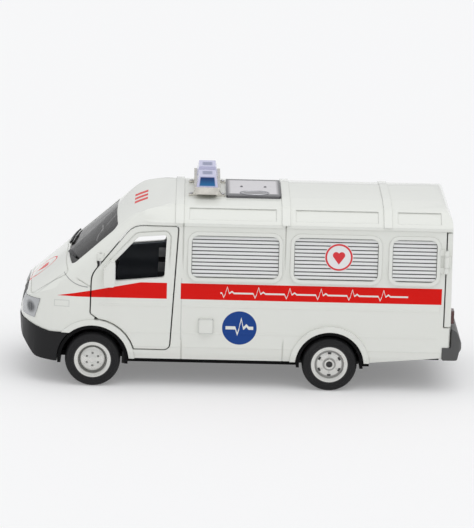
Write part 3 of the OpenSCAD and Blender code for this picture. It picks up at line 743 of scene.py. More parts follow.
@dataclass(frozen=True)
class PlatedRim(WheelFinish):
    """Silver paint with turning marks, painted shade in its slots, grooves and open hub, in a bead of rubber.
    """

    bead_r: float = 5.27
    bead_edge: float = 0.08
    # The colour of the painted shade in the slots and the open hub
    hollow_shade: Colour = (0.03, 0.03, 0.03)
    slots: int = 6
    slot_r: Span = Span(3.0, 3.6)
    slot_turn: Span = Span(0.35, 0.65)
    slot_turn_edge: float = 0.06
    slot_edge: float = 0.1
    slot_depth: float = 0.15
    hub_r: float = 0.0
    groove: Span = Span(3.55, 4.15)
    groove_shade: float = 0.62
    hub_groove: Span = Span(1.5, 1.95)
    hub_shade: float = 0.0
    groove_edge: float = 0.25
    turn_pitch: float = 0.16
    turn_h: float = 0.002

    def paint(self, s: Surface) -> Value:
        """Lay the painted shade of the slots, grooves and hub, and the bead, on the silver.

        Args:
            s: the surface, which also gets the masks of the slots and the bead.

        Returns:
            The colour over the surface.
        """
        across, up = self.about_axle(s)
        reach = across.reach(up)
        turn = (s.math("ARCTAN2", up, across) * (self.slots / FULL_TURN)).fraction()
        slot = turn.within(self.slot_turn, self.slot_turn_edge) * reach.within(self.slot_r, self.slot_edge)
        s.masks["reach"] = reach
        s.masks["slots"] = slot.most(1 - reach.rise(self.hub_r, self.slot_edge))
        s.masks["bead"] = reach.rise(self.bead_r, self.bead_edge)
        groove = reach.within(self.groove, self.groove_edge) * self.groove_shade
        groove = groove.most(reach.within(self.hub_groove, self.groove_edge) * self.hub_shade)
        # Painted shade darkens the slots, the open hub and the grooves
        colour = s.mix(s.masks["slots"].most(groove), super().paint(s), self.hollow_shade)
        return s.mix(s.masks["bead"], colour, RUBBER)

    def relief(self, s: Surface) -> Value:
        """Return the turning marks and the depth of the slots."""
        marks = s.masks["reach"].wave(self.turn_pitch) * self.turn_h
        return super().relief(s) + marks - s.masks["slots"] * self.slot_depth

    def metal(self, s: Surface) -> Value:
        """Return the metal, which stops at the bead and in the slots."""
        return (1 - s.masks["bead"].most(s.masks["slots"])) * self.metallic


@dataclass(frozen=True)
class BeaconLens(Finish):
    """Tinted clear plastic under a painted pale reflection, deep where its end is looked into, with moulded
    flutes.
    """

    # pale is a painted reflection over the shell, and glow is a painted glow at the foot of the tint
    pale: Colour = (0.58, 0.58, 0.78)
    glow: Colour = (0.012, 0.16, 0.38)
    foot_z: float = 57.5
    height: float = 2.9
    middle_x: float = 10.46
    half_x: float = 2.2
    taper: float = 0.16
    # The tint, with a painted glow at the foot
    tint_share: float = 0.42
    tint_fade: float = 0.7
    # The outer end, as far as the tint shows in it
    end_y: float = 10.1
    end_edge: float = 0.25
    end_up_share: Span = Span(0.08, 0.9)
    end_up_edge: float = 0.1
    end_x_share: float = 1.06
    end_x_edge: float = 0.12
    # The patch where the deep tint shows through the top, free of the painted reflection
    top_inset: Span = Span(2.2, 6.4)
    top_edge: float = 0.9
    top_x_share: float = 0.8
    top_x_edge: float = 0.25
    top_tint: float = 0.62
    flute_pitch: float = 0.8
    flute_h: float = 0.004

    def paint(self, s: Surface) -> Value:
        """Let the deep tint show through the painted pale reflection of the shell.

        Args:
            s: the surface.

        Returns:
            The colour over the surface.
        """
        up = ((s.z - self.foot_z) / self.height).least(1).most(0)
        # Painted glow: the tint is lighter towards the foot
        deep = s.mix(up.rise(self.tint_share, self.tint_fade), self.glow, self.colour)
        off = abs(s.x - self.middle_x) / self.half_x + up * self.taper
        end = abs(s.y).rise(self.end_y, self.end_edge) * (1 - off.rise(self.end_x_share, self.end_x_edge))
        end = end * up.within(self.end_up_share, self.end_up_edge)
        inset = self.end_y - abs(s.y)
        top = up.rise(self.end_up_share.high, self.end_up_edge) * inset.within(self.top_inset, self.top_edge)
        top = top * self.top_tint * (1 - off.rise(self.top_x_share, self.top_x_edge))
        # Painted reflection: the shell is pale except at the ends and on the top patch
        return s.mix((end + top).least(1), self.pale, deep)

    def relief(self, s: Surface) -> Value:
        """Return the flutes, which stand upright."""
        flutes = s.y.wave(self.flute_pitch) + s.x.wave(self.flute_pitch)
        return super().relief(s) + flutes * self.flute_h


@dataclass(frozen=True)
class LampLens(Finish):
    """A clear headlight with a bright bowl and a dark bulb in its middle."""

    bulb: Colour = (0.05, 0.055, 0.06)
    bulb_y: float = 16.0
    bulb_z: float = 22.0
    bulb_r: float = 1.6
    bulb_edge: float = 1.2
    flute_pitch: float = 0.7
    flute_h: float = 0.03

    def paint(self, s: Surface) -> Value:
        """Return the bowl and its bulb."""
        reach = (abs(s.y) - self.bulb_y).reach(s.z - self.bulb_z)
        return s.mix(1 - reach.rise(self.bulb_r, self.bulb_edge), super().paint(s), self.bulb)

    def relief(self, s: Surface) -> Value:
        """Return the upright flutes."""
        return super().relief(s) + s.y.wave(self.flute_pitch) * self.flute_h


@dataclass(frozen=True)
class RibbedTrim(Finish):
    """Cab plastic with ridges that run level."""

    rib_pitch: float = 5.2
    rib_h: float = 0.16

    def relief(self, s: Surface) -> Value:
        """Return the ridges."""
        return super().relief(s) + s.z.wave(self.rib_pitch) * self.rib_h


@dataclass(frozen=True)
class HatchPlastic(Finish):
    """Silvered clear plastic with painted shade towards its ends, along its two long edges and under its
    handle.
    """

    # dark is the colour of the painted shade
    dark: Colour = (0.035, 0.035, 0.042)
    centre_x: float = -3.0
    half_x: float = 7.95
    end_w: float = 0.9
    end_fade: float = 1.0
    half_y: float = 10.4
    edge_w: float = 2.2
    edge_fade: float = 0.5
    edge_shade: float = 0.9
    pan: tuple[float, float] = (3.8, 2.0)
    pan_x: float = -3.3
    pan_y: float = 7.2
    pan_share: float = 0.9
    pan_fade: float = 0.15
    pan_shade: float = 0.7

    def paint(self, s: Surface) -> Value:
        """Paint shade on the silver face.

        Args:
            s: the surface.

        Returns:
            The colour over the surface.
        """
        # Painted shade at the ends, along the long edges and in the pan under the handle
        end = abs(s.x - self.centre_x).rise(self.half_x - self.end_w, self.end_fade)
        side = abs(s.y).rise(self.half_y - self.edge_w, self.edge_fade) * self.edge_shade
        reach = ((s.x - self.pan_x) / self.pan[0]).reach((s.y - self.pan_y) / self.pan[1])
        pan = (1 - reach.rise(self.pan_share, self.pan_fade)) * self.pan_shade
        return s.mix(end.most(side).most(pan), super().paint(s), self.dark)


@dataclass
class Workshop:
    """Makes plain meshes, turns node-built ones into them and makes pieces of both."""

    bend_deg: float = 32.0
    weld: float = 2e-6
    round_profile: float = 0.5
    smoother: bpy.types.NodeTree | None = None

    @staticmethod
    def piece(
        name: str, mesh: bpy.types.Mesh, material: bpy.types.Material, body: Body, slot: str
    ) -> bpy.types.Object:
        """Make an object of a mesh and let it ride.

        Args:
            name: the piece's name.
            mesh: its mesh, in place.
            material: its finish.
            body: what it rides on.
            slot: the record's material slot meant for it; not used.

        Returns:
            The new object.
        """
        mesh.name = name
        mesh.materials.clear()
        mesh.materials.append(material)
        obj = bpy.data.objects.new(name, mesh)
        bpy.context.scene.collection.objects.link(obj)
        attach(obj, body.value)
        LOG.info("%s: %d faces on %s", name, len(mesh.polygons), body.value)
        return obj

    @staticmethod
    def group(name: str, inputs: dict[str, str]) -> tuple[Tree, dict[str, Value]]:
        """Start a geometry tree.

        Args:
            name: the tree's name.
            inputs: the types of its named inputs, after the geometry.

        Returns:
            The tree and its inputs by name, with the incoming geometry among them.
        """
        nodes = bpy.data.node_groups.new(name, "GeometryNodeTree")
        nodes.interface.new_socket("Geometry", in_out="INPUT", socket_type="NodeSocketGeometry")
        for label, kind in inputs.items():
            nodes.interface.new_socket(label, in_out="INPUT", socket_type=kind)
        nodes.interface.new_socket("Geometry", in_out="OUTPUT", socket_type="NodeSocketGeometry")
        tree = Tree(nodes)
        start = tree.add("NodeGroupInput").socket.node
        return tree, {s.name: Value(tree, s) for s in start.outputs if s.name}

    @staticmethod
    def close(tree: Tree, instances: Value, finish: Value) -> bpy.types.NodeTree:
        """End a geometry tree with plain faces in one finish.

        Args:
            tree: the tree.
            instances: what it has made so far.
            finish: its input for the material.

        Returns:
            The finished tree.
        """
        real = tree.add("GeometryNodeRealizeInstances", inputs={0: instances})
        done = tree.add("GeometryNodeSetMaterial", inputs={"Geometry": real, "Material": finish})
        tree.add("NodeGroupOutput", inputs={0: done})
        return tree.nodes

    @staticmethod
    def realised(
        points: Sequence[Vector], nodes: bpy.types.NodeTree, values: dict[str, Any]
    ) -> bpy.types.Mesh:
        """Run a geometry tree on a few points.

        Args:
            points: places that the tree may use, in metres.
            nodes: the tree.
            values: its inputs by name.

        Returns:
            The resulting plain mesh.
        """
        base = bpy.data.meshes.new("points")
        base.from_pydata([tuple(p) for p in points], [], [])
        obj = bpy.data.objects.new("maker", base)
        bpy.context.scene.collection.objects.link(obj)
        modifier = obj.modifiers.new("make", "NODES")
        modifier.node_group = nodes
        for item in nodes.interface.items_tree:
            if item.in_out == "INPUT" and item.name in values:
                modifier[item.identifier] = values[item.name]
        graph = bpy.context.evaluated_depsgraph_get()
        mesh = bpy.data.meshes.new_from_object(obj.evaluated_get(graph), depsgraph=graph)
        bpy.data.objects.remove(obj)
        return mesh

    @staticmethod
    def plain(work: bmesh.types.BMesh, name: str, rounded: bool = False) -> bpy.types.Mesh:
        """Turn a working mesh into a plain one.

        Args:
            work: the working mesh, which is freed.
            name: the plain mesh's name.
            rounded: whether its faces are turned outwards and shaded as one surface.

        Returns:
            The plain mesh.
        """
        if rounded:
            bmesh.ops.recalc_face_normals(work, faces=work.faces)
        mesh = bpy.data.meshes.new(name)
        work.to_mesh(mesh)
        work.free()
        if rounded:
            mesh.shade_smooth()
        return mesh

    def joined(self, meshes: Sequence[bpy.types.Mesh]) -> bpy.types.Mesh:
        """Make one mesh of several.

        Args:
            meshes: the meshes, in place.

        Returns:
            The joined mesh.
        """
        work = bmesh.new()
        for mesh in meshes:
            work.from_mesh(mesh)
        return self.plain(work, "joined", rounded=True)

    def tube(self, path: Sequence[Vector], radius: float, sides: int = 10) -> bpy.types.Mesh:
        """Sweep a round bar along a closed flat path.

        Args:
            path: the points of its middle line, in metres.
            radius: the bar's radius, in metres.
            sides: the facets round the bar.

        Returns:
            The closed ring as a mesh.
        """
        work = bmesh.new()
        up = Vector((0, 0, 1))
        turns = [FULL_TURN * k / sides for k in range(sides)]
        rows = []
        for i, point in enumerate(path):
            ahead = (path[(i + 1) % len(path)] - path[i - 1]).normalized()
            out = ahead.cross(up)
            ring = [point + radius * (out * math.cos(t) + up * math.sin(t)) for t in turns]
            rows.append([work.verts.new(place) for place in ring])
        for i, row in enumerate(rows):
            after = rows[(i + 1) % len(rows)]
            for k in range(sides):
                work.faces.new((row[k], row[(k + 1) % sides], after[(k + 1) % sides], after[k]))
        return self.plain(work, "tube", rounded=True)

    def block(
        self, place: Vector, size: Vector, edge_r: float, segments: int, flat_ends: bool = False
    ) -> bpy.types.Mesh:
        """Make a block with round edges.

        Args:
            place: its middle, in metres.
            size: its length, width and height, in metres.
            edge_r: the radius of its edges, in metres.
            segments: the facets of a round edge.
            flat_ends: whether only the four edges along X are round.

        Returns:
            The block as a mesh.
        """
        work = bmesh.new()
        bmesh.ops.create_cube(work, size=1.0, matrix=Matrix.LocRotScale(place, None, size))
        edges = list(work.edges)
        if flat_ends:
            edges = [e for e in edges if abs((e.verts[0].co - e.verts[1].co).x) > size.x / 2]
        bmesh.ops.bevel(
            work, geom=edges, offset=edge_r, segments=segments, affect="EDGES", profile=self.round_profile
        )
        return self.plain(work, "block")

    def _gentle_bends(self) -> bpy.types.NodeTree:
        """Build the tree that shades a solid's gentle bends as one surface.

        Returns:
            The tree.
        """
        kind = "GeometryNodeSetShadeSmooth"
        tree, value = self.group("gentle_bends", {})
        inputs = {"Geometry": value["Geometry"], "Distance": self.weld}
        merged = tree.add("GeometryNodeMergeByDistance", inputs=inputs)
        faces = tree.add(kind, {"domain": "FACE"}, {0: merged, "Shade Smooth": True})
        angle = tree.add("GeometryNodeInputMeshEdgeAngle")
        gentle = tree.math("LESS_THAN", angle, math.radians(self.bend_deg))
        edges = tree.add(kind, {"domain": "EDGE"}, {0: faces, "Shade Smooth": gentle})
        tree.add("NodeGroupOutput", inputs={0: edges})
        return tree.nodes

    def smooth(self, obj: bpy.types.Object) -> None:
        """Shade a solid's gentle bends as one surface, and keep its edges.

        Args:
            obj: the solid or piece.
        """
        self.smoother = self.smoother or self._gentle_bends()
        with bpy.context.temp_override(object=obj, active_object=obj, selected_objects=[obj]):
            if obj.data.has_custom_normals:
                bpy.ops.mesh.customdata_custom_splitnormals_clear()
        obj.modifiers.new("gentle_bends", "NODES").node_group = self.smoother


@dataclass
class Studs:
    """Domed studs and bolt heads, which one tree of nodes puts on given places."""

    workshop: Workshop
    sides: int = 20
    rings: int = 12
    nodes: bpy.types.NodeTree = field(init=False)

    def __post_init__(self) -> None:
        """Build the tree that puts a dome on every point."""
        kinds = {"Radius": "NodeSocketFloat", "Height": "NodeSocketFloat", "Finish": "NodeSocketMaterial"}
        tree, value = self.workshop.group("domed_studs", kinds)
        unit = {"Segments": self.sides, "Rings": self.rings, "Radius": 1.0}
        dome = tree.add("GeometryNodeMeshUVSphere", inputs=unit)
        sizes = {0: value["Radius"], 1: value["Radius"], 2: value["Height"]}
        size = tree.add("ShaderNodeCombineXYZ", inputs=sizes)
        placed = {"Points": value["Geometry"], "Instance": dome, "Scale": size}
        studs = tree.add("GeometryNodeInstanceOnPoints", inputs=placed)
        self.nodes = self.workshop.close(tree, studs, value["Finish"])

    def mesh(
        self, points: Sequence[Vector], radius: float, height: float, finish: bpy.types.Material
    ) -> bpy.types.Mesh:
        """Make the studs of one piece.

        Args:
            points: their middles, in metres.
            radius: the radius of each.
            height: how far each stands up.
            finish: their material.

        Returns:
            All of them as one mesh.
        """
        values = {"Radius": radius * MM, "Height": height * MM, "Finish": finish}
        return self.workshop.realised(points, self.nodes, values)


@dataclass(frozen=True)
class Flank:
    """The side of the van above its waist, which leans inwards."""

    waist_y: float = 22.9
    waist_z: float = 25.5
    lean: float = 0.0454

    def y(self, z: float) -> float:
        """Return the skin's distance from the middle at a height."""
        return self.waist_y - self.lean * (z - self.waist_z)


@dataclass
class Blinds:
    """The louvred blinds in the side windows, with a round print on the middle one."""

    workshop: Workshop
    flank: Flank = Flank()
    windows: tuple[Span, ...] = (Span(-10.5, 14.51), Span(-38.99, -14.9), Span(-55.85, -43.1))
    heights: Span = Span(33.34, 45.72)
    corner: float = 0.5
    gap: float = 0.12
    sunk: float = 0.3
    slats: int = 11
    slat_share: float = 0.77
    slat_t: float = 0.34
    slat_turn: float = 0.16
    slat_sides: int = 10
    print_x: float = -27.7
    print_z: float = 40.2
    print_r: float = 4.1
    print_t: float = 0.08
    print_lift: float = 0.12
    print_sides: int = 48
    slat_finish: Finish = Finish("blind_slats", (0.83, 0.84, 0.83), 0.35, coat=0.2)
    film: Roundel = Roundel("blind_print", (0.84, 0.84, 0.84), 0.3)

    def _tree(self) -> bpy.types.NodeTree:
        """Build the tree that stacks slats in a window with round corners.

        Returns:
            The tree.
        """
        sizes = ("Length", "Pitch", "Slat", "Thickness", "Lean", "Turn", "Corner")
        kinds = {name: "NodeSocketFloat" for name in sizes}
        kinds |= {"Count": "NodeSocketInt", "Finish": "NodeSocketMaterial"}
        tree, value = self.workshop.group("slat_stack", kinds)
        length, pitch, tall, thick, lean, turn, corner = (value[name] for name in sizes)
        count = value["Count"]
        step = tree.add("ShaderNodeCombineXYZ", inputs={1: lean * pitch, 2: pitch})
        line = tree.add("GeometryNodeMeshLine", {"mode": "OFFSET"}, {"Count": count, "Offset": step})
        # How far the window's round corners bite into the ends of each slat
        off = abs(tree.add("GeometryNodeInputIndex") - (count - 1) / 2) * pitch + tall / 2
        into = (off - count * pitch / 2 + corner).most(0).least(corner)
        bite = corner - (corner * corner - into * into).most(0) ** 0.5
        bar = tree.add("GeometryNodeCurvePrimitiveLine", inputs={"Start": (-0.5, 0, 0), "End": (0.5, 0, 0)})
        unit = {"Resolution": self.slat_sides, "Radius": 1.0}
        ring = tree.add("GeometryNodeCurvePrimitiveCircle", inputs=unit)
        swept = {0: bar, "Profile Curve": ring, "Fill Caps": True}
        size = {0: length - 2 * bite, 1: thick / 2, 2: tall / 2}
        placed = {
            "Points": line,
            "Instance": tree.add("GeometryNodeCurveToMesh", inputs=swept),
            "Rotation": tree.add("ShaderNodeCombineXYZ", inputs={0: turn}),
            "Scale": tree.add("ShaderNodeCombineXYZ", inputs=size),
        }
        stack = tree.add("GeometryNodeInstanceOnPoints", inputs=placed)
        return self.workshop.close(tree, stack, value["Finish"])

    def _stack(
        self, nodes: bpy.types.NodeTree, window: Span, side: Side, finish: bpy.types.Material
    ) -> bpy.types.Mesh:
        """Make the slats of one window.

        Args:
            nodes: the tree that stacks them.
            window: the window's length.
            side: the side of the van.
            finish: their material.

        Returns:
            The slats as one mesh, in place.
        """
        pitch = (self.heights.length - 2 * self.gap) / self.slats
        values = {
            "Length": (window.length - 2 * self.gap) * MM,
            "Pitch": pitch * MM,
            "Slat": self.slat_share * pitch * MM,
            "Thickness": self.slat_t * MM,
            "Lean": -side.value * self.flank.lean,
            "Turn": side.value * self.slat_turn,
            "Corner": self.corner * MM,
            "Count": self.slats,
            "Finish": finish,
        }
        mesh = self.workshop.realised([], nodes, values)
        z = self.heights.low + self.gap + pitch / 2
        place = Vector((window.middle, side.value * (self.flank.y(z) - self.sunk), z)) * MM
        mesh.transform(Matrix.Translation(place))
        return mesh

    def _disc(self, side: Side) -> bpy.types.Mesh:
        """Make the thin round film of the print.

        Args:
            side: the side of the van.

        Returns:
            The film as a mesh, in place.
        """
        facing = Matrix.Rotation(0 if side is Side.RIGHT else math.pi, 4, "Z")
        work = bmesh.new()
        bmesh.ops.create_cone(
            work,
            cap_ends=True,
            segments=self.print_sides,
            radius1=self.print_r * MM,
            radius2=(self.print_r - self.print_t) * MM,
            depth=self.print_t * MM,
            matrix=facing @ Matrix.Rotation(math.pi / 2, 4, "X"),
        )
        lean = Matrix.Rotation(math.atan(side.value * self.flank.lean), 3, "X")
        bmesh.ops.rotate(work, verts=work.verts, matrix=lean)
        y = side.value * (self.flank.y(self.print_z) - self.print_lift)
        bmesh.ops.translate(work, verts=work.verts, vec=Vector((self.print_x, y, self.print_z)) * MM)
        return self.workshop.plain(work, "print")

    def build(self) -> None:
        """Build the slats of both sides and the prints on them."""
        shop = self.workshop
        nodes = self._tree()
        slats = self.slat_finish.material()
        film = replace(self.film, at_x=self.print_x, at_z=self.print_z, film_r=self.print_r).material()
        for side in Side:
            stacks = [self._stack(nodes, window, side, slats) for window in self.windows]
            shop.piece(f"{side.word}_blind_slats", shop.joined(stacks), slats, Body.VAN, "blind_glass")
            shop.piece(f"{side.word}_blind_print", self._disc(side), film, Body.VAN, "blind_glass")


@dataclass
class RoofFittings:
    """Handle and vents of the roof hatch, and the bolts that hold the light bar."""

    workshop: Workshop
    studs: Studs
    handle: tuple[float, float] = (4.1, 2.3)
    handle_bar: float = 0.24
    handle_x: float = -0.3
    handle_y: float = 7.2
    handle_points: int = 40
    vents: Outline = ((3.4, -0.4), (-3.5, -0.4))
    vent_r: float = 0.42
    vent_h: float = 0.3
    pad_x: float = 4.5
    pad_y: float = 8.2
    pad_t: float = 0.5
    bolt_r: float = 0.5
    bolt_h: float = 0.35
    chrome: Finish = Finish("bright_fittings", (0.5, 0.5, 0.52), 0.2, metallic=1.0)
    rubber: Finish = Finish("dark_fittings", (0.16, 0.16, 0.17), 0.45)

    def build(self) -> None:
        """Build the handle, the vents and the bolts."""
        shop = self.workshop
        chrome, rubber = self.chrome.material(), self.rubber.material()
        low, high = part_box("roof_hatch")
        top = Vector(((low.x + high.x) / 2, 0, high.z))
        wide, deep = self.handle
        turns = (FULL_TURN * i / self.handle_points for i in range(self.handle_points))
        path = [
            top + Vector((self.handle_x + wide * math.cos(t), self.handle_y + deep * math.sin(t), 0)) * MM
            for t in turns
        ]
        shop.piece("hatch_handle", shop.tube(path, self.handle_bar * MM), chrome, Body.VAN, "plated_plastic")
        vents = [top + Vector((x, y, 0)) * MM for x, y in self.vents]
        mesh = shop.joined([self.studs.mesh(vents, self.vent_r, self.vent_h, rubber)])
        shop.piece("hatch_vents", mesh, rubber, Body.VAN, "black_plastic")
        low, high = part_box("lightbar_base")
        foot = Vector(((low.x + high.x) / 2, 0, low.z))
        pads = [
            foot + Vector((x * self.pad_x, y * self.pad_y, self.pad_t)) * MM for x in (-1, 1) for y in (-1, 1)
        ]
        mesh = shop.joined([self.studs.mesh(pads, self.bolt_r, self.bolt_h, chrome)])
        shop.piece("lightbar_bolts", mesh, chrome, Body.VAN, "plated_plastic")


@dataclass
class MirrorPlates:
    """The bright plates in the backs of the door mirrors."""

    workshop: Workshop
    wide_share: float = 0.62
    tall_share: float = 0.74
    thick: float = 0.3
    lift: float = 0.08
    corner: float = 0.35
    corner_segments: int = 4
    silver: Finish = Finish("mirror_silver", (0.8, 0.81, 0.82), 0.05, metallic=1.0, grain_h=0.0)

    def build(self) -> None:
        """Build one plate for each mirror."""
        shop = self.workshop
        finish = self.silver.material()
        for side, body in ((Side.LEFT, Body.LEFT_FRONT_DOOR), (Side.RIGHT, Body.RIGHT_FRONT_DOOR)):
            low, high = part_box(f"{side.word}_mirror")
            box = high - low
            size = Vector((self.thick * MM, self.wide_share * box.y, self.tall_share * box.z))
            place = (low + high) / 2
            place.x = low.x + (self.thick / 2 - self.lift) * MM
            mesh = shop.block(place, size, self.corner * MM, self.corner_segments, flat_ends=True)
            shop.piece(f"{side.word}_mirror_plate", mesh, finish, body, "plated_plastic")


@dataclass
class Van:
    """The solids themselves and their finishes."""

    frame: dict[str, Any]
    workshop: Workshop
    paint: BodyPaint = BodyPaint(
        "white_enamel",
        (0.8, 0.812, 0.765),
        0.2,
        coat=0.35,
        specular=0.15,
        mottle=0.008,
        grain_h=0.0008,
        soft_edge=0.3,
    )
    black: Finish = Finish(
        "black_plastic", (0.01, 0.01, 0.011), 0.4, specular=0.25, grain_h=0.01, mottle=0.1, soft_edge=0.2
    )
    under: Finish = Finish(
        "wheel_well_plastic", (0.004, 0.004, 0.0045), 0.6, specular=0.1, grain_h=0.01, mottle=0.1
    )
    grey: Finish = Finish(
        "grey_plastic", (0.09, 0.091, 0.09), 0.45, specular=0.3, grain_h=0.01, soft_edge=0.2
    )
    trim: RibbedTrim = RibbedTrim("ridged_cab_trim", (0.3, 0.33, 0.38), 0.45)
    cab: Finish = Finish("cab_plastic", (0.03, 0.031, 0.034), 0.5, specular=0.3, grain_h=0.01)
    smoke: Finish = Finish(
        "smoked_glass", (0.016, 0.015, 0.014), 0.1, specular=0.4, mottle=0.12, grain_h=0.0005, alpha=0.7
    )
    pane: Finish = Finish("blind_pane", (0.035, 0.037, 0.04), 0.25, coat=0.2)
    chrome: Finish = Finish(
        "bar_chrome", (0.86, 0.83, 0.76), 0.12, metallic=0.85, mottle=0.24, mottle_mm=2.2, soft_edge=0.15
    )
    steel: Finish = Finish("pin_steel", (0.5, 0.5, 0.51), 0.3, metallic=1.0)
    lamp: LampLens = LampLens("headlight_lens", (0.45, 0.46, 0.47), 0.12, metallic=0.2, coat=0.4)
    tail: Finish = Finish("tail_lens", (0.07, 0.014, 0.012), 0.15, coat=0.5, grain_mm=0.7, grain_h=0.03)
    beacon: BeaconLens = BeaconLens("beacon_lens", (0.003, 0.035, 0.15), 0.12, specular=0.4)
    hatch: HatchPlastic = HatchPlastic("hatch_silver", (0.72, 0.7, 0.72), 0.2, metallic=0.1, coat=0.3)
    tyre: TyreRubber = TyreRubber("tyre_rubber", RUBBER, 0.6, specular=0.3)

    def dress(self, finish: Finish, *names: str) -> None:
        """Give a finish to solids.

        Args:
            finish: the finish.
            names: the solids' names.
        """
        material = finish.material()
        for name in names:
            obj = self.frame["nodes"][name]
            obj.data.materials.clear()
            obj.data.materials.append(material)
            self.workshop.smooth(obj)
            LOG.info("%s: %s", name, finish.name)

    @staticmethod
    def pair(name: str) -> tuple[str, str]:
        """Return the left and right names of a solid."""
        return f"left_{name}", f"right_{name}"

    def build(self) -> None:
        """Dress every solid."""
        pair = self.pair
        self.dress(self.paint, "body_shell", *pair("front_door"), *pair("mirror"), *pair("rear_door"))
        self.dress(self.black, "front_bumper", "grille", "motor_case", *pair("wiper"))
        self.dress(self.under, "chassis")
        self.dress(self.grey, "rear_bumper")
        self.dress(self.trim, *pair("door_card"))
        self.dress(self.cab, "interior_tub", "steering_wheel")
        self.dress(self.smoke, "windscreen", *pair("rear_glass"))
        self.dress(self.pane, *pair("side_glazing"))
        self.dress(self.chrome, "lightbar_base")
        self.dress(self.lamp, *pair("headlight"))
        self.dress(self.tail, *pair("tail_lamp"))
        self.dress(self.beacon, *pair("beacon"))
        self.dress(self.hatch, "roof_hatch")
        pins = (*pair("door_pin"), *pair("rear_pin"), "front_axle", "rear_axle")
        self.dress(self.steel, *pins, "front_screw", *pair("rear_screw"))
        for end in End:
            rubber = replace(self.tyre, name=f"{end.value}_tyre_rubber", axle=end.axle())
            self.dress(rubber, *pair(f"{end.value}_tyre"))


@dataclass(frozen=True)
class RimStyle:
    """One axle's kind of rim.

    The face is its outline from the lip to the hub. Its points and the bolts' place are each a radius and
    a depth behind the lip.
    """

    end: End
    body: Body
    face: Outline
    bolt_at: tuple[float, float]
    plating: PlatedRim


@dataclass
class Rims:
    """The wheels' rims: a domed pair in front and a slotted pair with open hubs behind, all with bolts."""

    workshop: Workshop
    studs: Studs
    steps: int = 72
    bore: float = 1.22
    seat: float = 1.24
    brim: float = 0.02
    merge: float = 1e-7
    lip: Outline = ((5.2, 0.0), (4.75, 0.06), (4.3, 0.22))
    bolts: int = 6
    bolt_r: float = 0.3
    domed: RimStyle = RimStyle(
        End.FRONT,
        Body.FRONT_WHEELS,
        (
            (4.12, 0.55), (3.98, 1.15), (3.84, 1.2), (3.7, 1.05), (3.5, 0.84), (3.1, 0.66), (2.4, 0.5),
            (1.4, 0.42), (1.15, 0.38), (1.0, 0.26), (0.7, 0.2), (0.0, 0.18),
        ),
        (2.55, 0.5),
        PlatedRim(
            "front_rim_silver",
            RIM_SILVER,
            0.28,
            metallic=0.8,
            slot_r=Span(1.6, 2.1),
            hollow_shade=(0.2, 0.2, 0.19),
            groove_shade=0.8,
        ),
    )
    slotted: RimStyle = RimStyle(
        End.REAR,
        Body.REAR_WHEELS,
        (
            (4.14, 0.5), (4.05, 0.78), (3.9, 0.86), (3.2, 0.76), (2.5, 0.64), (1.75, 0.72), (1.6, 0.66),
            (1.5, 0.32), (1.4, 0.2), (1.05, 0.18), (0.95, 0.26), (0.9, 0.6), (0.85, 1.0), (0.0, 1.02),
        ),
        (2.5, 0.68),
        PlatedRim("rear_rim_silver", RIM_SILVER, 0.28, metallic=0.8, hub_r=0.88, hub_shade=0.5),
    )

    def _turned(self, low: Vector, high: Vector, face: Outline, side: Side) -> bpy.types.Mesh:
        """Turn a rim's outline about its axle.

        Args:
            low: the lowest corner of the solid that it stands for.
            high: the highest corner.
            face: the outline of its face.
            side: the side of the van.

        Returns:
            The closed rim, in place.
        """
        axle = Vector(((low.x + high.x) / 2, 0, (low.z + high.z) / 2))
        outer = high.y if side is Side.LEFT else low.y
        reach, depth = (high.x - low.x) / 2 / MM, (high.y - low.y) / MM
        back = (
            (0.0, self.seat),
            (self.bore, self.seat),
            (self.bore, depth),
            (reach, depth),
            (reach, self.brim),
        )
        work = bmesh.new()
        points = [
            work.verts.new(axle + Vector((0, outer - side.value * d * MM, r * MM)))
            for r, d in (*back, *self.lip, *face)
        ]
        edges = [work.edges.new(pair) for pair in zip(points, points[1:])]
        turn = {"cent": axle, "axis": (0, 1, 0), "angle": FULL_TURN, "steps": self.steps, "use_merge": True}
        bmesh.ops.spin(work, geom=points + edges, **turn)
        bmesh.ops.remove_doubles(work, verts=work.verts, dist=self.merge)
        return self.workshop.plain(work, "rim", rounded=True)

    def _bolts(self, low: Vector, high: Vector, at: tuple[float, float], side: Side) -> list[Vector]:
        """Place the bolts on a rim.

        Args:
            low: the lowest corner of the solid that the rim stands for.
            high: the highest corner.
            at: the radius and depth of the bolts.
            side: the side of the van.

        Returns:
            The bolts' middles, in metres.
        """
        radius, depth = at
        middle = (low + high) / 2
        middle.y = (high.y if side is Side.LEFT else low.y) - side.value * depth * MM
        turns = (FULL_TURN * (i + 0.5) / self.bolts for i in range(self.bolts))
        return [middle + Vector((math.cos(t), 0, math.sin(t))) * radius * MM for t in turns]

    def build(self) -> None:
        """Build the four rims with their bolts, each in place of its solid."""
        shop = self.workshop
        for style in (self.domed, self.slotted):
            finish = replace(style.plating, axle=style.end.axle()).material()
            for side in Side:
                node = f"{side.word}_{style.end.value}_rim"
                low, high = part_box(node)
                points = self._bolts(low, high, style.bolt_at, side)
                heads = self.studs.mesh(points, self.bolt_r, self.bolt_r, finish)
                mesh = shop.joined([self._turned(low, high, style.face, side), heads])
                piece = shop.piece(f"{node}_face", mesh, finish, style.body, "plated_plastic")
                shop.smooth(piece)
                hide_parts(node)


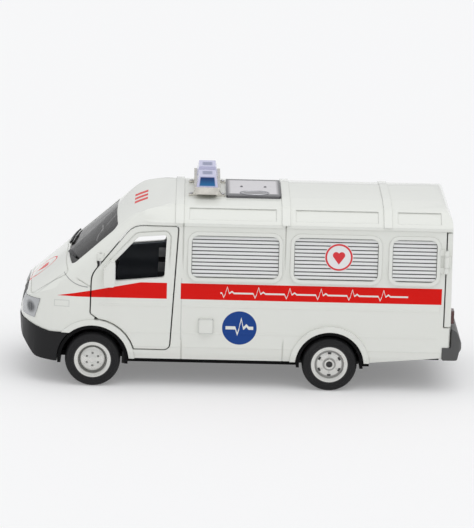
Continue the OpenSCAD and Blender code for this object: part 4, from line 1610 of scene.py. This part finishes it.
@dataclass
class MudFlaps:
    """The flaps that hang from the wheel wells behind the front tyres."""

    workshop: Workshop
    behind: Span = Span(8.4, 9.75)
    across: Span = Span(17.4, 20.9)
    heights: Span = Span(6.7, 10.4)
    edge_r: float = 0.25
    edge_segments: int = 3
    rubber: Finish = Finish("flap_rubber", (0.009, 0.009, 0.009), 0.55, specular=0.3, grain_h=0.015)

    def build(self) -> None:
        """Build both flaps."""
        shop = self.workshop
        rubber = self.rubber.material()
        x = End.FRONT.axle()[0] - self.behind.middle
        size = Vector((self.behind.length, self.across.length, self.heights.length)) * MM
        for side in Side:
            place = Vector((x, side.value * self.across.middle, self.heights.middle)) * MM
            mesh = shop.block(place, size, self.edge_r * MM, self.edge_segments)
            shop.smooth(shop.piece(f"{side.word}_mud_flap", mesh, rubber, Body.VAN, "black_plastic"))


@dataclass
class Studio:
    """Floor, light and the camera of the photograph's view."""

    target: tuple[float, float, float] = (1.12, 0.0, 28.0)
    yaw_deg: float = 0.98
    pitch_deg: float = 14.84
    roll_deg: float = 1.56
    focal_px: float = 3150.0
    distance: float = 927.0
    picture: tuple[int, int] = (474, 528)
    target_px: tuple[float, float] = (236.6, 276.1)
    sensor: float = 36.0
    clip_end: float = 100.0
    floor_half: float = 12.0
    floor_colour: Colour = (0.93, 0.93, 0.93)
    sun_strength: float = 0.62
    sun_angle_deg: float = 50.0
    sun_turn_deg: tuple[float, float, float] = (-16.0, -14.0, 0.0)
    sky: Colour = (0.98, 0.985, 1.0)
    sky_strength: float = 0.96
    horizon_share: float = 0.6
    shade_lift: float = 0.22

    def camera(self) -> None:
        """Set the camera at the photograph's viewing angle."""
        yaw, pitch, roll = (math.radians(a) for a in (self.yaw_deg, self.pitch_deg, self.roll_deg))
        back = Vector((math.sin(yaw) * math.cos(pitch), math.cos(yaw) * math.cos(pitch), math.sin(pitch)))
        level = Vector((0, 0, 1)).cross(back).normalized()
        upright = back.cross(level)
        right = level * math.cos(roll) + upright * math.sin(roll)
        up = back.cross(right)
        off_x = (self.picture[0] / 2 - self.target_px[0]) * self.distance / self.focal_px
        off_y = (self.target_px[1] - self.picture[1] / 2) * self.distance / self.focal_px
        aim = Vector(self.target) + right * off_x + up * off_y
        data = bpy.data.cameras.new("camera")
        data.sensor_width = self.sensor
        data.lens = self.focal_px * self.sensor / max(self.picture)
        data.clip_end = self.clip_end
        obj = bpy.data.objects.new("camera", data)
        turn = Matrix((right, up, back)).transposed().to_4x4()
        obj.matrix_world = Matrix.Translation((aim + back * self.distance) * MM) @ turn
        bpy.context.scene.collection.objects.link(obj)
        bpy.context.scene.camera = obj

    def _paper(self) -> bpy.types.Material:
        """Make the floor's paper, whose shade is seen a little lighter than it falls.

        Returns:
            The paper's material.
        """
        s = Surface("floor_paper")
        paper = s.add("ShaderNodeBsdfDiffuse", inputs={"Color": (*self.floor_colour, 1)})
        glow = s.add("ShaderNodeEmission", inputs={"Color": (*self.floor_colour, 1), "Strength": 1.0})
        rays = ("Is Camera Ray", "Is Glossy Ray", "Is Transmission Ray")
        seen = sum(s.add("ShaderNodeLightPath", output=ray) for ray in rays).least(1) * self.shade_lift
        shader = s.add("ShaderNodeMixShader", inputs={0: seen, 1: paper, 2: glow})
        s.add("ShaderNodeOutputMaterial", inputs={"Surface": shader})
        return s.material

    def floor(self) -> None:
        """Lay the pale floor."""
        work = bmesh.new()
        bmesh.ops.create_grid(work, x_segments=2, y_segments=2, size=self.floor_half)
        mesh = Workshop.plain(work, "floor")
        mesh.materials.append(self._paper())
        obj = bpy.data.objects.new("floor", mesh)
        bpy.context.scene.collection.objects.link(obj)

    def light(self) -> None:
        """Hang one broad soft sun in a sky that darkens towards the horizon."""
        data = bpy.data.lights.new("soft_sun", "SUN")
        data.energy = self.sun_strength
        data.angle = math.radians(self.sun_angle_deg)
        obj = bpy.data.objects.new("soft_sun", data)
        obj.rotation_euler = tuple(math.radians(a) for a in self.sun_turn_deg)
        bpy.context.scene.collection.objects.link(obj)
        world = bpy.data.worlds.new("studio_sky")
        world.use_nodes = True
        tree = Tree(world.node_tree)
        way = tree.add("ShaderNodeTexCoord", output="Generated")
        height = tree.add("ShaderNodeSeparateXYZ", inputs={0: way}, output="Z").most(0)
        level = (height * (1 - self.horizon_share) + self.horizon_share) * self.sky_strength
        sky = tree.add("ShaderNodeBackground", inputs={"Color": (*self.sky, 1), "Strength": level})
        tree.add("ShaderNodeOutputWorld", inputs={"Surface": sky})
        bpy.context.scene.world = world

    def build(self) -> None:
        """Set up the camera, the floor and the light."""
        bpy.context.scene.view_settings.view_transform = "Standard"
        self.camera()
        self.floor()
        self.light()


def main() -> None:
    """Load the solids, set up the studio, dress the solids and add the fittings."""
    logging.basicConfig(level=logging.INFO, format="%(name)s: %(message)s")
    for obj in list(bpy.data.objects):
        bpy.data.objects.remove(obj)
    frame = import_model()
    workshop = Workshop()
    studs = Studs(workshop)
    Studio().build()
    Van(frame, workshop).build()
    Blinds(workshop).build()
    RoofFittings(workshop, studs).build()
    Rims(workshop, studs).build()
    MirrorPlates(workshop).build()
    MudFlaps(workshop).build()


if __name__ == "__main__":
    main()
